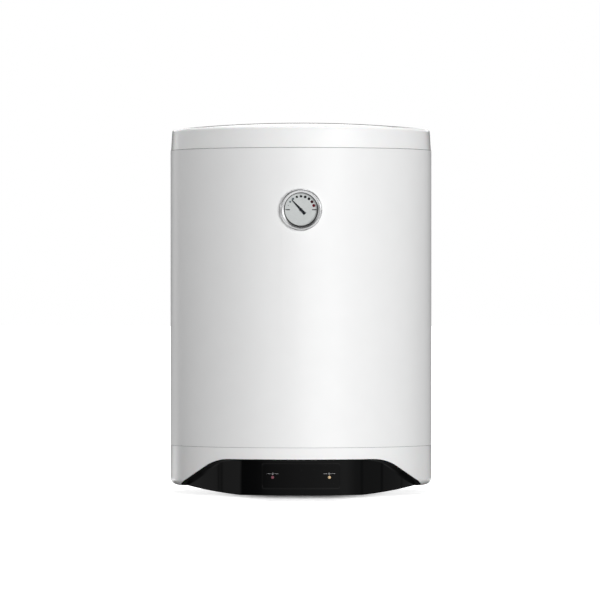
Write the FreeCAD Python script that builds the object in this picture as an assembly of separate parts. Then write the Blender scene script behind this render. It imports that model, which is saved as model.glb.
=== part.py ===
import FreeCAD, Part
import math
import os

from FreeCAD import Vector

# Wall-hung electric storage water heater of the 50 litre class, in millimetres.
# The written parts have their origin on the wall, midway between the two bracket slots:
# +X to the viewer's right, +Y into the wall, +Z up.  Every piece is drawn about the tank's
# own upright axis, x = y = 0 with the front at -Y, and is shifted as it is written.

# --- Outer shells ---------------------------------------------------------------------
JACKET_R = 225.0            # painted steel jacket
JACKET_T = 0.8
JACKET_H = 506.0            # from seam to seam
SHELL_T = 2.5               # wall of the moulded covers
SEAM_GAP = 1.0              # open joint between the jacket and each cover
LIP_H = 8.0                 # how far a cover's lip reaches into the jacket
FIT = 0.3                   # clearance of pieces that seat in one another
WALL_GAP = 15.0             # jacket to wall
APEX_ABOVE_BOLTS = 150.0    # top of the dome above the bracket's slots

CAP_H = 48.0                # top cover, seam to apex
CAP_SET_IN = 0.8            # the cover's edge lies this far inside the jacket's face
CAP_DRAFT = 2.2             # radius lost over the skirt's height
DOME_RISE = 11.5
CAP_EDGE_R = 5.0

RING_H = 68.5               # lower cover, seam to its foot
RING_EDGE_R = 11.0
FOOT_W = 20.0               # width of the foot around the recess
RECESS_H = 24.0             # foot to the recessed floor

# --- Cut-out in the lower cover and the fascia in it ------------------------------------
CUT_DROP = 19.8             # seam to the cut-out's top edge
CUT_HALF_W = 145.5          # to the corner where the top edge and a slope would meet
CUT_SLOPE = 35.5            # fall of the slopes, degrees
CUT_CORNER_R = 70.0
CUT_WALL_TURN = 55.0        # the side walls run inward this far off straight back, degrees
CUT_WALL_FALL = 0.08        # fall of the walls per unit of depth
FASCIA_DEPTH = 12.0         # fascia behind the jacket's face
RIM_T = 1.6                 # fascia's rim that lines the cut-out
RIM_SET_IN = 0.8            # rim's edge behind the jacket's face
CHIN_DROP = 12.3            # fascia below the lower cover's foot
CHIN_FLAT = 104.0           # half the level stretch of its lower edge
CHIN_BEND = (52.0, 6.5)     # run and rise to the middle of the curved stretch
CHIN_END = (104.0, 16.2)    # run and rise to its end
CHIN_TILT = 5.0             # the underside rises towards the wall, degrees
FASCIA_BACK = 72.0          # rear edge in front of the tank's axis
FASCIA_TOP_OVER_FLOOR = 8.0
TAB_W = 24.0
TAB_X = 118.0
TAB_L = 13.0

WINDOW_W = 131.0
WINDOW_H = 42.8
WINDOW_T = 1.2
WINDOW_CORNER_R = 3.5
WINDOW_BELOW_CUT = 28.2     # cut-out's top edge to the window's middle
LAMP_R = 2.5
LAMP_X = 48.0
LAMP_PROUD = 0.7
LAMP_BELOW_WINDOW = 2.4
BOARD_W = 118.0
BOARD_H = 24.0
BOARD_T = 1.6
BOARD_BACK = 16.0           # board's face behind the fascia's front at the middle
BOARD_POST_R = 3.5
BOARD_POST_X = 30.0

# --- Tank and insulation ----------------------------------------------------------------
INSULATION_T = 35.0         # tank to the jacket's face
TANK_T = 2.0
TANK_BELOW_SEAM = 42.0      # shell's upper edge below the upper seam
TANK_OVER_LOW_SEAM = 59.0   # shell's lower edge above the lower seam
HEAD_RISE = 40.0
HEAD_SKIRT = 15.0
HEAD_KNUCKLE_R = 25.0
WELD_GAP = 0.15
FOAM_ABOVE_SEAM = 30.0
FOAM_ABOVE_LOW_SEAM = 16.0

# --- Heater flange ----------------------------------------------------------------------
NECK_R = 45.0
NECK_T = 3.0
NECK_IN = 8.0               # reach into the tank past the head's lowest point
NECK_DROP = 13.0            # flange ring's lower face below the head's lowest point
FLANGE_R = 66.0
FLANGE_RING_T = 6.0
FLANGE_PLATE_T = 4.0
GASKET_T = 3.0
FLANGE_PCD = 112.0
FLANGE_BOLTS = 6
M8_R = 4.0
M8_NUT_AF = 13.0
M8_NUT_H = 6.5
THREAD_OVER = 2.5           # thread that shows past a nut

ELEMENT_R = 4.25
ELEMENT_Y = 18.0
ELEMENT_PITCH = 20.0
ELEMENT_TOP = 250.0         # top bends above the flange plate
ELEMENT_LOW_BEND = 6.0      # lowest bend's axis above the flange plate
ELEMENT_TAIL = 6.0          # sheath that shows below the flange plate
BEAD_R = 3.4
BEAD_H = 3.0
TERMINAL_R = 1.6
TERMINAL_L = 10.0
ANODE_R = 11.0
ANODE_L = 215.0
ANODE_XY = (-26.0, -12.0)
ANODE_CLEAR = 6.0
POCKET_R = 6.5
POCKET_T = 1.5
POCKET_L = 268.0
PROBE_R = 4.6
STAT_XY = (6.0, -14.0)
STAT_SIZE = (40.0, 44.0, 30.0)
STAT_CLEAR = 3.0
SPINDLE_R = 3.0

# --- Underside --------------------------------------------------------------------------
SERVICE_W = 172.0
SERVICE_D = 108.0
SERVICE_Y = -8.0
SERVICE_T = 2.5
SERVICE_CORNER_R = 14.0
SERVICE_LAP = 8.0           # overlap of the service cover on the floor
DISH_R = 24.0
DISH_H = 2.0
KNOB_R = 17.0
KNOB_SKIRT_R = 20.0
KNOB_SKIRT_H = 2.5
KNOB_H = 13.0
KNOB_GAP = 0.6
KNOB_RIBS = 18
KNOB_RIB_R = 0.9
RESET_XY = (22.0, -31.0)
RESET_R = 3.2
RESET_TRAVEL = 1.5
RESET_PROUD = 3.0
NIPPLE_R = 10.48            # G 1/2 outside thread
NIPPLE_THREAD_L = 22.0
NIPPLE_SHANK_R = 10.0
NIPPLE_BORE = 7.5
NIPPLE_X = 50.0             # 100 mm between the connections
NIPPLE_Y = 70.0
NIPPLE_L = 33.0             # below the recessed floor
NIPPLE_IN = 10.0            # above the tank's head
COLLAR_R = 17.0
COLLAR_H = 8.0
DIP_R = 7.0
DIP_BORE = 5.6
DIP_BELOW_TOP = 12.0        # hot pipe's mouth below the upper head
DIP_LAP = 20.0
DIFFUSER_R = 15.0
DIFFUSER_H = 24.0
DIFFUSER_T = 2.0
GLAND_XY = (-118.0, -22.0)
GLAND_BORE = 4.5
GLAND_R = 8.0
GLAND_AF = 22.0
GLAND_HEX_H = 6.0
GLAND_DOME_H = 9.0
LOCKNUT_H = 5.0
BLOCK_XY = (-112.0, 50.0)
BLOCK_SIZE = (44.0, 24.0, 18.0)
SCREW_R = 1.9
SCREW_HEAD_R = 3.8
SCREW_HEAD_H = 2.2
SCREW_L = 9.0
WIRE_R = 1.3
LEAD_R = 0.9

# --- Wall fixing ------------------------------------------------------------------------
SLOT_SPACING = 200.0
SLOT_L = 20.0
SLOT_W = 10.5
BRACKET_W = 256.0
BRACKET_H = 64.0
BRACKET_T = 2.5
BRACKET_BEND_R = 4.0
PAD_W = 34.0
STUD_OUT = 13.8             # studs outside the bracket's slotted face
STUD_Z = 16.0
SPACER_R = 14.0
SPACER_X = 72.0
SPACER_ABOVE_SEAM = 34.0
SPACER_STEM_R = 4.0
SPACER_STEM_L = 8.0

# --- Thermometer ------------------------------------------------------------------------
GAUGE_BELOW_APEX = 152.6
BEZEL_R = 36.0
BEZEL_LIP_R = 29.0
BEZEL_PROUD = 6.0
BEZEL_LIP_T = 1.2
BEZEL_EDGE_R = 2.2
LENS_T = 1.5
CASE_R = 30.5
CASE_T = 1.2
CASE_L = 26.0
DIAL_BACK = 3.2             # dial's face behind the lens
DIAL_T = 0.8
NEEDLE_L = 23.0
NEEDLE_TAIL = 10.0
NEEDLE_TIP_W = 1.4
NEEDLE_TAIL_W = 5.4
NEEDLE_T = 0.5
NEEDLE_RISE = 47.0          # rest position above the left dash, degrees
NEEDLE_HUB_R = 2.6
NEEDLE_OVER_DIAL = 0.5
PIVOT_R = 0.9
MOVEMENT_R = 14.0
MOVEMENT_L = 14.0
CLIP_R = 35.0
CLIP_T = 2.0
CAPILLARY_R = 1.0
BULB_R = 3.3
BULB_L = 52.0
BULB_DROP = 60.0            # bulb's axis below the gauge's
BULB_POCKET_R = 5.0
BULB_POCKET_T = 1.4
BULB_POCKET_OUT = 5.0

# --- Levels and places worked out from the sizes above -----------------------------------
Z_APEX = APEX_ABOVE_BOLTS
Z_SEAM = Z_APEX - CAP_H
Z_LOW_SEAM = Z_SEAM - JACKET_H
Z_FOOT = Z_LOW_SEAM - RING_H
Z_CHIN = Z_FOOT - CHIN_DROP
Z_FLOOR = Z_FOOT + RECESS_H
Z_FLOOR_TOP = Z_FLOOR + SHELL_T
Z_CUT = Z_LOW_SEAM - CUT_DROP
Z_TANK = Z_SEAM - TANK_BELOW_SEAM
Z_TANK_LOW = Z_LOW_SEAM + TANK_OVER_LOW_SEAM
Z_HEAD_LOW = Z_TANK_LOW - HEAD_RISE
Z_RING = Z_HEAD_LOW - NECK_DROP
Z_GASKET = Z_RING - GASKET_T
Z_PLATE = Z_GASKET - FLANGE_PLATE_T
Z_STAT = Z_PLATE - STAT_CLEAR
Z_STAT_LOW = Z_STAT - STAT_SIZE[2]
Z_SERVICE = Z_FLOOR - SERVICE_T
Z_NIPPLE = Z_FLOOR - NIPPLE_L
Z_GAUGE = Z_APEX - GAUGE_BELOW_APEX
Z_WINDOW = Z_CUT - WINDOW_BELOW_CUT
Z_LAMP = Z_WINDOW - LAMP_BELOW_WINDOW
Z_SPACER = Z_LOW_SEAM + SPACER_ABOVE_SEAM

JACKET_BORE = JACKET_R - JACKET_T
LIP_R = JACKET_BORE - FIT
FOAM_R = LIP_R - SHELL_T - FIT
TANK_R = JACKET_R - INSULATION_T
HEAD_R = TANK_R - TANK_T - WELD_GAP
RECESS_R = JACKET_R - FOOT_W
FASCIA_R = JACKET_R - FASCIA_DEPTH
FASCIA_BORE = FASCIA_R - SHELL_T
WALL_Y = JACKET_R + WALL_GAP
PAD_R = JACKET_R + FIT
PAD_FACE_R = PAD_R + BRACKET_T
STUD_TURN = math.degrees(math.asin((BRACKET_W / 2 + STUD_OUT) / PAD_R))
Y_BEZEL = -JACKET_R - BEZEL_PROUD
Y_LENS = Y_BEZEL + BEZEL_LIP_T
Y_CASE = Y_LENS + LENS_T
Y_CASE_BACK = Y_CASE + CASE_L
Y_DIAL = Y_CASE + DIAL_BACK
Y_DIAL_BACK = Y_DIAL + DIAL_T
DIAL_R = CASE_R - CASE_T - FIT
Y_MOVEMENT = Y_DIAL_BACK + 2 * DIAL_T
Y_BOARD = -FASCIA_R + BOARD_BACK
Z_BULB = Z_GAUGE - BULB_DROP

UP = Vector(0, 0, 1)
BACK = Vector(0, 1, 0)
ORIGIN = Vector(0, 0, 0)
FAR = 2 * JACKET_R          # longer than any cut needs


# --- Shapes that the pieces are made of --------------------------------------------------
def rod(r, z0, z1, x=0.0, y=0.0):
    """Upright cylinder."""
    return Part.makeCylinder(r, z1 - z0, Vector(x, y, z0), UP)


def tube(r, bore, z0, z1, x=0.0, y=0.0):
    """Upright tube."""
    return rod(r, z0, z1, x, y).cut(rod(bore, z0 - 1, z1 + 1, x, y))


def rod_y(r, y0, y1, x, z):
    """Cylinder that lies front to back."""
    return Part.makeCylinder(r, y1 - y0, Vector(x, y0, z), BACK)


def block(x0, x1, y0, y1, z0, z1):
    """Box between two corners."""
    return Part.makeBox(x1 - x0, y1 - y0, z1 - z0, Vector(x0, y0, z0))


def hexagon(across, z0, z1, x=0.0, y=0.0):
    """Upright hexagonal bar."""
    corner = across / math.sqrt(3)
    angles = [math.radians(60 * i) for i in range(7)]
    ring = [Vector(x + corner * math.cos(a), y + corner * math.sin(a), z0) for a in angles]
    return Part.Face(Part.makePolygon(ring)).extrude(UP * (z1 - z0))


def outline(*steps):
    """Closed wire in the XZ plane.  A step is a point (x, z), or ((x, z), (x, z)) for the
    middle and the end of an arc."""
    here = Vector(steps[0][0], 0, steps[0][1])
    first = here
    edges = []
    for step in steps[1:]:
        if isinstance(step[0], tuple):
            middle = Vector(step[0][0], 0, step[0][1])
            there = Vector(step[1][0], 0, step[1][1])
            edges.append(Part.Arc(here, middle, there).toShape())
        else:
            there = Vector(step[0], 0, step[1])
            edges.append(Part.makeLine(here, there))
        here = there
    edges.append(Part.makeLine(here, first))
    return Part.Wire(edges)


def lathe(*steps):
    """Solid of revolution about the tank's axis; the steps give (radius, z)."""
    return Part.Face(outline(*steps)).revolve(ORIGIN, UP, 360)


def bend(cx, cz, r, start, end):
    """Middle and end points of an arc about (cx, cz), for outline and lathe."""
    middle = math.radians((start + end) / 2)
    last = math.radians(end)
    return ((cx + r * math.cos(middle), cz + r * math.sin(middle)),
            (cx + r * math.cos(last), cz + r * math.sin(last)))


def rounded_plate(w, d, r, z0, z1, x=0.0, y=0.0):
    """Upright prism of a rounded rectangle."""
    plate = block(x - w / 2, x + w / 2, y - d / 2, y + d / 2, z0, z1)
    corners = [e for e in plate.Edges if abs(e.tangentAt(e.FirstParameter).z) > 0.9]
    return plate.makeFillet(r, corners)


def rounded_slab(w, h, r, y0, y1, x, z):
    """Rounded rectangle seen from the front, extruded front to back."""
    slab = block(x - w / 2, x + w / 2, y0, y1, z - h / 2, z + h / 2)
    corners = [e for e in slab.Edges if abs(e.tangentAt(e.FirstParameter).y) > 0.9]
    return slab.makeFillet(r, corners)


def round_circle(solid, r, z, radius):
    """Round the circular edge of radius r that lies at height z."""
    found = [e for e in solid.Edges if abs(e.BoundBox.ZMin - z) < 1e-3
             and abs(e.BoundBox.ZMax - z) < 1e-3 and abs(e.BoundBox.XLength - 2 * r) < 1e-3]
    return solid.makeFillet(radius, found)


def mirrored(solid):
    """The same piece on the other side."""
    return solid.mirror(ORIGIN, Vector(1, 0, 0))


def wire_tube(points, r):
    """Insulated wire along straight runs joined by tangent arcs as wide as the runs allow."""
    points = [Vector(*p) for p in points]
    edges = []
    here = points[0]
    for before, corner, after in zip(points, points[1:], points[2:]):
        into = (corner - before).normalize()
        out = (after - corner).normalize()
        reach = 0.45 * min((corner - before).Length, (after - corner).Length)
        start = corner - into * reach
        end = corner + out * reach
        half = into.getAngle(out) / 2
        bow = reach / math.tan(half) * (1 / math.cos(half) - 1)
        middle = corner + (out - into).normalize() * bow
        edges.append(Part.makeLine(here, start))
        edges.append(Part.Arc(start, middle, end).toShape())
        here = end
    edges.append(Part.makeLine(here, points[-1]))
    ring = Part.Wire(Part.makeCircle(r, points[0], points[1] - points[0]))
    return Part.Wire(edges).makePipeShell([ring], True, True)


# --- Outer shells ------------------------------------------------------------------------
def gauge_place(r, y0, y1):
    """Round space for the thermometer."""
    return rod_y(r, y0, y1, 0, Z_GAUGE)


def stud_line(r, r0, r1, side, height):
    """Cylinder along a bracket stud, between two distances from the tank's axis."""
    turn = math.radians(STUD_TURN)
    away = Vector(side * math.sin(turn), math.cos(turn), 0)
    return Part.makeCylinder(r, r1 - r0, away * r0 + UP * height, away)


def all_studs(r, r0, r1):
    """The four stud cylinders."""
    return [stud_line(r, r0, r1, side, height) for side in (-1, 1) for height in (-STUD_Z, STUD_Z)]


def outer_jacket():
    jacket = tube(JACKET_R, JACKET_BORE, Z_LOW_SEAM, Z_SEAM)
    jacket = jacket.cut(gauge_place(CASE_R + FIT, -FAR, 0))
    for hole in all_studs(M8_R + FIT, TANK_R, FAR):
        jacket = jacket.cut(hole)
    for side in (-1, 1):
        jacket = jacket.cut(rod_y(SPACER_STEM_R + FIT, 0, FAR, side * SPACER_X, Z_SPACER))
    return jacket


def cap_body(inset, z_low):
    """Top cover's outer shape, or its inside at the wall's thickness."""
    r_low = JACKET_R - CAP_SET_IN - inset
    r_top = r_low - CAP_DRAFT
    z_corner = Z_APEX - DOME_RISE - inset
    apex = Z_APEX - inset
    dome = ((r_top / 2, apex - DOME_RISE / 4), (0, apex))
    body = lathe((0, z_low), (r_low, z_low), (r_top, z_corner), dome)
    return round_circle(body, r_top, z_corner, CAP_EDGE_R - inset)


def top_cover():
    z_edge = Z_SEAM + SEAM_GAP / 2
    cover = cap_body(0, z_edge).cut(cap_body(SHELL_T, z_edge - 1))
    lip = tube(LIP_R, LIP_R - SHELL_T, Z_SEAM - LIP_H, z_edge + SHELL_T)
    return cover.fuse(lip).removeSplitter()


def cut_space(inset, reach):
    """Space inside the cut-out, its outline drawn in by inset.  Each half is the jacket's
    face within the outline, swept inward along that side's wall direction."""
    turn = math.radians(CUT_SLOPE)
    corner_r = CUT_CORNER_R - inset
    x_corner = CUT_HALF_W - inset * math.tan(turn / 2)
    z_top = Z_CUT - inset
    z_low = Z_CHIN - CHIN_DROP
    run = corner_r * math.tan(turn / 2)
    x_arc = x_corner - run
    arc = bend(x_arc, z_top - corner_r, corner_r, 90, 90 - CUT_SLOPE)
    x_low = x_corner + (z_top - z_low) / math.tan(turn)
    half = Part.Face(outline((0, z_top), (x_arc, z_top), arc, (x_low, z_low), (0, z_low)))
    half.translate(BACK * -FAR)
    face = Part.makeCylinder(JACKET_R, z_top - z_low + 20, Vector(0, 0, z_low - 10), UP).Faces[0]
    patch = face.common(half.extrude(BACK * FAR)).Faces[0]
    side = math.radians(CUT_WALL_TURN)
    inward = Vector(-math.sin(side), math.cos(side), -CUT_WALL_FALL)
    start = FASCIA_DEPTH / 2
    patch.translate(inward * -start)
    right = patch.extrude(inward * (reach + start))
    return right.fuse(mirrored(right))


def front_of(y):
    """Everything in front of a plane across the heater, below the jacket."""
    return block(-FAR, FAR, -FAR, y, Z_CHIN - FAR, Z_LOW_SEAM - FIT)


def floor_holes(z0, z1):
    """Openings in the recessed floor for what passes through it."""
    holes = [rounded_plate(SERVICE_W - 2 * SERVICE_LAP, SERVICE_D - 2 * SERVICE_LAP,
                           SERVICE_CORNER_R - SERVICE_LAP / 2, z0, z1, 0, SERVICE_Y)]
    holes += [rod(NIPPLE_R + FIT, z0, z1, side * NIPPLE_X, NIPPLE_Y) for side in (-1, 1)]
    holes.append(rod(GLAND_R + FIT, z0, z1, *GLAND_XY))
    holes += [rod(SCREW_R + FIT, z0, z1, *place) for place in fascia_screw_places()]
    holes += [rod(SCREW_R, z0, z1, *place) for place in service_screw_places()]
    return holes


def lower_cover():
    z_edge = Z_LOW_SEAM - SEAM_GAP / 2
    bore = JACKET_R - SHELL_T
    z_bend = Z_FOOT + RING_EDGE_R
    r_bend = JACKET_R - RING_EDGE_R
    cover = lathe((0, Z_FLOOR), (RECESS_R, Z_FLOOR), (RECESS_R, Z_FOOT), (r_bend, Z_FOOT),
                  bend(r_bend, z_bend, RING_EDGE_R, -90, 0), (JACKET_R, z_edge), (LIP_R, z_edge),
                  (LIP_R, Z_LOW_SEAM + LIP_H), (LIP_R - SHELL_T, Z_LOW_SEAM + LIP_H),
                  (LIP_R - SHELL_T, z_edge - SHELL_T), (bore, z_edge - SHELL_T), (bore, z_bend),
                  bend(r_bend, z_bend, RING_EDGE_R - SHELL_T, 0, -90),
                  (RECESS_R + SHELL_T, Z_FOOT + SHELL_T), (RECESS_R + SHELL_T, Z_FLOOR_TOP),
                  (0, Z_FLOOR_TOP))
    cover = cover.cut(cut_space(0, FASCIA_DEPTH / math.cos(math.radians(CUT_WALL_TURN))))
    behind = rod(FASCIA_R + FIT, Z_CHIN, Z_LOW_SEAM).common(front_of(-FASCIA_BACK + FIT))
    cover = cover.cut(behind)
    for hole in floor_holes(Z_FLOOR - 1, Z_FLOOR_TOP + 1):
        cover = cover.cut(hole)
    return cover


def chin_space(inset):
    """Everything above the fascia's underside, raised by inset."""
    z0 = Z_CHIN + inset
    tilt = math.tan(math.radians(CHIN_TILT))
    over = lathe((0, z0 + FASCIA_R * tilt), (FAR, z0 + (FASCIA_R - FAR) * tilt), (FAR, Z_LOW_SEAM),
                 (0, Z_LOW_SEAM))
    bow = ((CHIN_FLAT + CHIN_BEND[0], z0 + CHIN_BEND[1]), (CHIN_FLAT + CHIN_END[0], z0 + CHIN_END[1]))
    half = Part.Face(outline((0, z0), (CHIN_FLAT, z0), bow, (bow[1][0], Z_LOW_SEAM), (0, Z_LOW_SEAM)))
    half.translate(BACK * -FAR)
    right = half.extrude(BACK * FAR)
    return over.common(right.fuse(mirrored(right)))


def ring_envelope(inset):
    """Outer shape of the lower cover, drawn in."""
    r = JACKET_R - inset
    z_bend = Z_FOOT + RING_EDGE_R
    r_bend = JACKET_R - RING_EDGE_R
    return lathe((0, Z_CHIN - 1), (r_bend, Z_CHIN - 1), (r_bend, Z_FOOT + inset),
                 bend(r_bend, z_bend, RING_EDGE_R - inset, -90, 0), (r, Z_LOW_SEAM), (0, Z_LOW_SEAM))


def fascia_screw_places():
    """Two screws behind the fascia's rear edge."""
    y = -FASCIA_BACK + TAB_L / 2 + FIT
    return [(side * TAB_X, y) for side in (-1, 1)]


def service_screw_places():
    """One screw at each end of the service cover."""
    return [(side * (SERVICE_W - SERVICE_LAP) / 2, SERVICE_Y) for side in (-1, 1)]


def front_fascia():
    reach = (JACKET_R - FASCIA_BORE) / math.cos(math.radians(CUT_WALL_TURN)) + FASCIA_DEPTH
    inside = cut_space(FIT, reach)
    rim = inside.cut(cut_space(FIT + RIM_T, reach + FASCIA_DEPTH)).common(ring_envelope(RIM_SET_IN))
    rim = rim.cut(rod(FASCIA_BORE, Z_CHIN - 1, Z_LOW_SEAM))
    front = rod(FASCIA_R, Z_CHIN - 1, Z_LOW_SEAM).cut(rod(FASCIA_BORE, Z_CHIN - 2, Z_LOW_SEAM + 1))
    front = front.common(inside)
    chin = chin_space(0)
    drum = rod(FASCIA_R, Z_CHIN - 1, Z_LOW_SEAM - RING_EDGE_R).common(front_of(-FASCIA_BACK))
    underside = drum.common(chin.cut(chin_space(SHELL_T)))
    z_top = Z_FLOOR_TOP + FASCIA_TOP_OVER_FLOOR
    back = drum.cut(front_of(-FASCIA_BACK - SHELL_T)).common(block(-FAR, FAR, -FAR, 0, Z_CHIN, z_top))
    shell = rim.fuse([front, underside, back]).common(chin)
    shell = shell.fuse(rim.common(rod(JACKET_R, Z_FOOT + RIM_SET_IN, Z_LOW_SEAM)))
    for x, y in fascia_screw_places():
        tab = block(x - TAB_W / 2, x + TAB_W / 2, -FASCIA_BACK - SHELL_T, -FASCIA_BACK + TAB_L,
                    Z_FLOOR_TOP, Z_FLOOR_TOP + SHELL_T)
        shell = shell.fuse(tab).cut(rod(SCREW_R, Z_FLOOR, z_top, x, y))
    for side in (-1, 1):
        x = side * BOARD_POST_X
        post = rod_y(BOARD_POST_R, -FASCIA_R, Y_BOARD, x, Z_WINDOW)
        shell = shell.fuse(post.common(rod(FASCIA_R - WINDOW_T - FIT, Z_CHIN, Z_CUT)))
        shell = shell.cut(rod_y(LAMP_R + FIT, -FAR, 0, side * LAMP_X, Z_LAMP))
    return shell.cut(window_space(0)).removeSplitter()


# --- Indicator panel ---------------------------------------------------------------------
def window_space(clear):
    """Shallow curved pocket that the window lies in, or the window itself with a clearance."""
    slab = rounded_slab(WINDOW_W - 2 * clear, WINDOW_H - 2 * clear, WINDOW_CORNER_R, -FAR, 0, 0, Z_WINDOW)
    bore = FASCIA_R - WINDOW_T + clear
    return slab.common(tube(FASCIA_R, bore, Z_CHIN, Z_LOW_SEAM))


def indicator_window():
    window = window_space(FIT / 2)
    for side in (-1, 1):
        window = window.cut(rod_y(LAMP_R + FIT, -FAR, 0, side * LAMP_X, Z_LAMP))
    return window


def lamp(side):
    """Five millimetre lamp that stands on the board and shows through the window."""
    x = side * LAMP_X
    y_face = -math.sqrt(FASCIA_R ** 2 - LAMP_X ** 2)
    y_tip = y_face - LAMP_PROUD
    body = rod_y(LAMP_R, y_tip + LAMP_R, Y_BOARD, x, Z_LAMP)
    return body.fuse(Part.makeSphere(LAMP_R, Vector(x, y_tip + LAMP_R, Z_LAMP))).removeSplitter()


def lamp_board():
    return block(-BOARD_W / 2, BOARD_W / 2, Y_BOARD, Y_BOARD + BOARD_T,
                 Z_WINDOW - BOARD_H / 2, Z_WINDOW + BOARD_H / 2)


def countersunk_screw(x, y, z_head):
    """Screw driven upward; its pan head hangs below z_head."""
    head = rod(SCREW_HEAD_R, z_head - SCREW_HEAD_H, z_head, x, y)
    head = round_circle(head, SCREW_HEAD_R, z_head - SCREW_HEAD_H, SCREW_HEAD_H / 2)
    slot = SCREW_HEAD_R * 0.6
    cross = block(x - slot, x + slot, y - 0.5, y + 0.5, z_head - SCREW_HEAD_H - 1, z_head - SCREW_HEAD_H / 2)
    cross = cross.fuse(block(x - 0.5, x + 0.5, y - slot, y + slot,
                             z_head - SCREW_HEAD_H - 1, z_head - SCREW_HEAD_H / 2))
    return head.cut(cross).fuse(rod(SCREW_R - FIT / 3, z_head, z_head + SCREW_L, x, y))


def fascia_screws():
    return [countersunk_screw(x, y, Z_FLOOR) for x, y in fascia_screw_places()]


# --- Underside ---------------------------------------------------------------------------
def service_cover():
    plate = rounded_plate(SERVICE_W, SERVICE_D, SERVICE_CORNER_R, Z_SERVICE, Z_FLOOR, 0, SERVICE_Y)
    edge = [e for e in plate.Edges if abs(e.BoundBox.ZMax - Z_SERVICE) < 1e-3]
    plate = plate.makeFillet(SERVICE_T / 2, edge)
    plate = plate.fuse(tube(DISH_R, DISH_R - SERVICE_T, Z_SERVICE - DISH_H, Z_SERVICE + 1, *STAT_XY))
    guide = rod(RESET_R + FIT + SERVICE_T / 2, Z_SERVICE - DISH_H, Z_SERVICE + 1, *RESET_XY)
    plate = plate.fuse(guide).cut(rod(SPINDLE_R + FIT, Z_SERVICE - 5, Z_FLOOR + 1, *STAT_XY))
    plate = plate.cut(rod(RESET_R + FIT, Z_SERVICE - 5, Z_FLOOR + 1, *RESET_XY))
    plate = plate.cut(rod(KNOB_SKIRT_R + FIT, Z_SERVICE - 5, Z_SERVICE, *STAT_XY))
    for x, y in service_screw_places():
        plate = plate.cut(rod(SCREW_R + FIT, Z_SERVICE - 1, Z_FLOOR + 1, x, y))
    return plate


def service_cover_screws():
    return [countersunk_screw(x, y, Z_SERVICE) for x, y in service_screw_places()]


def control_knob():
    """Round knob on the thermostat's spindle, its scale on the skirt and its grip ribbed."""
    x, y = STAT_XY
    z_top = Z_SERVICE - KNOB_GAP
    z_low = z_top - KNOB_H
    knob = rod(KNOB_SKIRT_R, z_top - KNOB_SKIRT_H, z_top, x, y)
    grip = round_circle(rod(KNOB_R, z_low, z_top, x, y), KNOB_R, z_low, KNOB_SKIRT_H / 2)
    knob = knob.fuse(grip)
    for i in range(KNOB_RIBS):
        turn = 2 * math.pi * (i + 0.5) / KNOB_RIBS
        rib = rod(KNOB_RIB_R, z_low - 1, z_top - KNOB_SKIRT_H, x + KNOB_R * math.cos(turn),
                  y + KNOB_R * math.sin(turn))
        knob = knob.cut(rib)
    bore = rod(SPINDLE_R + FIT / 3, z_top - KNOB_H / 2, z_top + 1, x, y)
    return knob.cut(bore)


def thermostat_spindle():
    z_low = Z_SERVICE - KNOB_GAP - KNOB_H / 2
    return rod(SPINDLE_R, z_low, Z_STAT_LOW + STAT_CLEAR, *STAT_XY)


def thermostat_body():
    w, d, _ = STAT_SIZE
    x, y = STAT_XY
    body = rounded_plate(w, d, STAT_CLEAR, Z_STAT_LOW, Z_STAT, x, y)
    body = body.cut(rod(SPINDLE_R + FIT / 3, Z_STAT_LOW - 1, Z_STAT_LOW + 2 * STAT_CLEAR, x, y))
    return body.cut(rod(RESET_R + FIT, Z_STAT_LOW - 1, Z_STAT_LOW + 2 * STAT_CLEAR, *RESET_XY))


def reset_button():
    z_top = Z_STAT_LOW + 2 * STAT_CLEAR - RESET_TRAVEL - FIT
    button = rod(RESET_R, Z_SERVICE - RESET_PROUD, z_top, *RESET_XY)
    return round_circle(button, RESET_R, Z_SERVICE - RESET_PROUD, RESET_R / 4)


def nipple(side):
    """Steel connection: thread below, plain shank up through the tank's head."""
    place = (side * NIPPLE_X, NIPPLE_Y)
    z_top = head_height(math.hypot(NIPPLE_X, NIPPLE_Y)) + NIPPLE_IN
    shank = tube(NIPPLE_SHANK_R, NIPPLE_BORE, Z_NIPPLE, z_top, *place)
    thread = tube(NIPPLE_R, NIPPLE_BORE, Z_NIPPLE, Z_NIPPLE + NIPPLE_THREAD_L, *place)
    return shank.fuse(thread).removeSplitter()


def collar(side):
    ring = tube(COLLAR_R, NIPPLE_R + FIT, Z_FLOOR - COLLAR_H, Z_FLOOR, side * NIPPLE_X, NIPPLE_Y)
    return round_circle(ring, COLLAR_R, Z_FLOOR - COLLAR_H, SHELL_T / 2)


def inlet_diffuser():
    """Cap on the cold connection that spreads the water sideways."""
    z0 = head_height(math.hypot(NIPPLE_X, NIPPLE_Y)) + NIPPLE_IN
    place = (NIPPLE_X, NIPPLE_Y)
    cap = rod(DIFFUSER_R, z0, z0 + DIFFUSER_H, *place)
    cap = cap.cut(rod(DIFFUSER_R - DIFFUSER_T, z0 + DIFFUSER_T, z0 + DIFFUSER_H - DIFFUSER_T, *place))
    cap = cap.cut(rod(NIPPLE_BORE, z0 - 1, z0 + DIFFUSER_T + 1, *place))
    half = DIFFUSER_R / 2
    ports = block(place[0] - half, place[0] + half, place[1] - DIFFUSER_R, place[1] + DIFFUSER_R,
                  z0 + 3 * DIFFUSER_T, z0 + DIFFUSER_H - 3 * DIFFUSER_T)
    return cap.cut(ports)


def hot_pipe():
    """Pipe inside the hot connection that draws from the top of the tank."""
    z_head = head_height(math.hypot(NIPPLE_X, NIPPLE_Y)) + NIPPLE_IN
    z_top = Z_TANK + HEAD_RISE - TANK_T - DIP_BELOW_TOP
    return tube(DIP_R, DIP_BORE, z_head - DIP_LAP, z_top, -NIPPLE_X, NIPPLE_Y)


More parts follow.
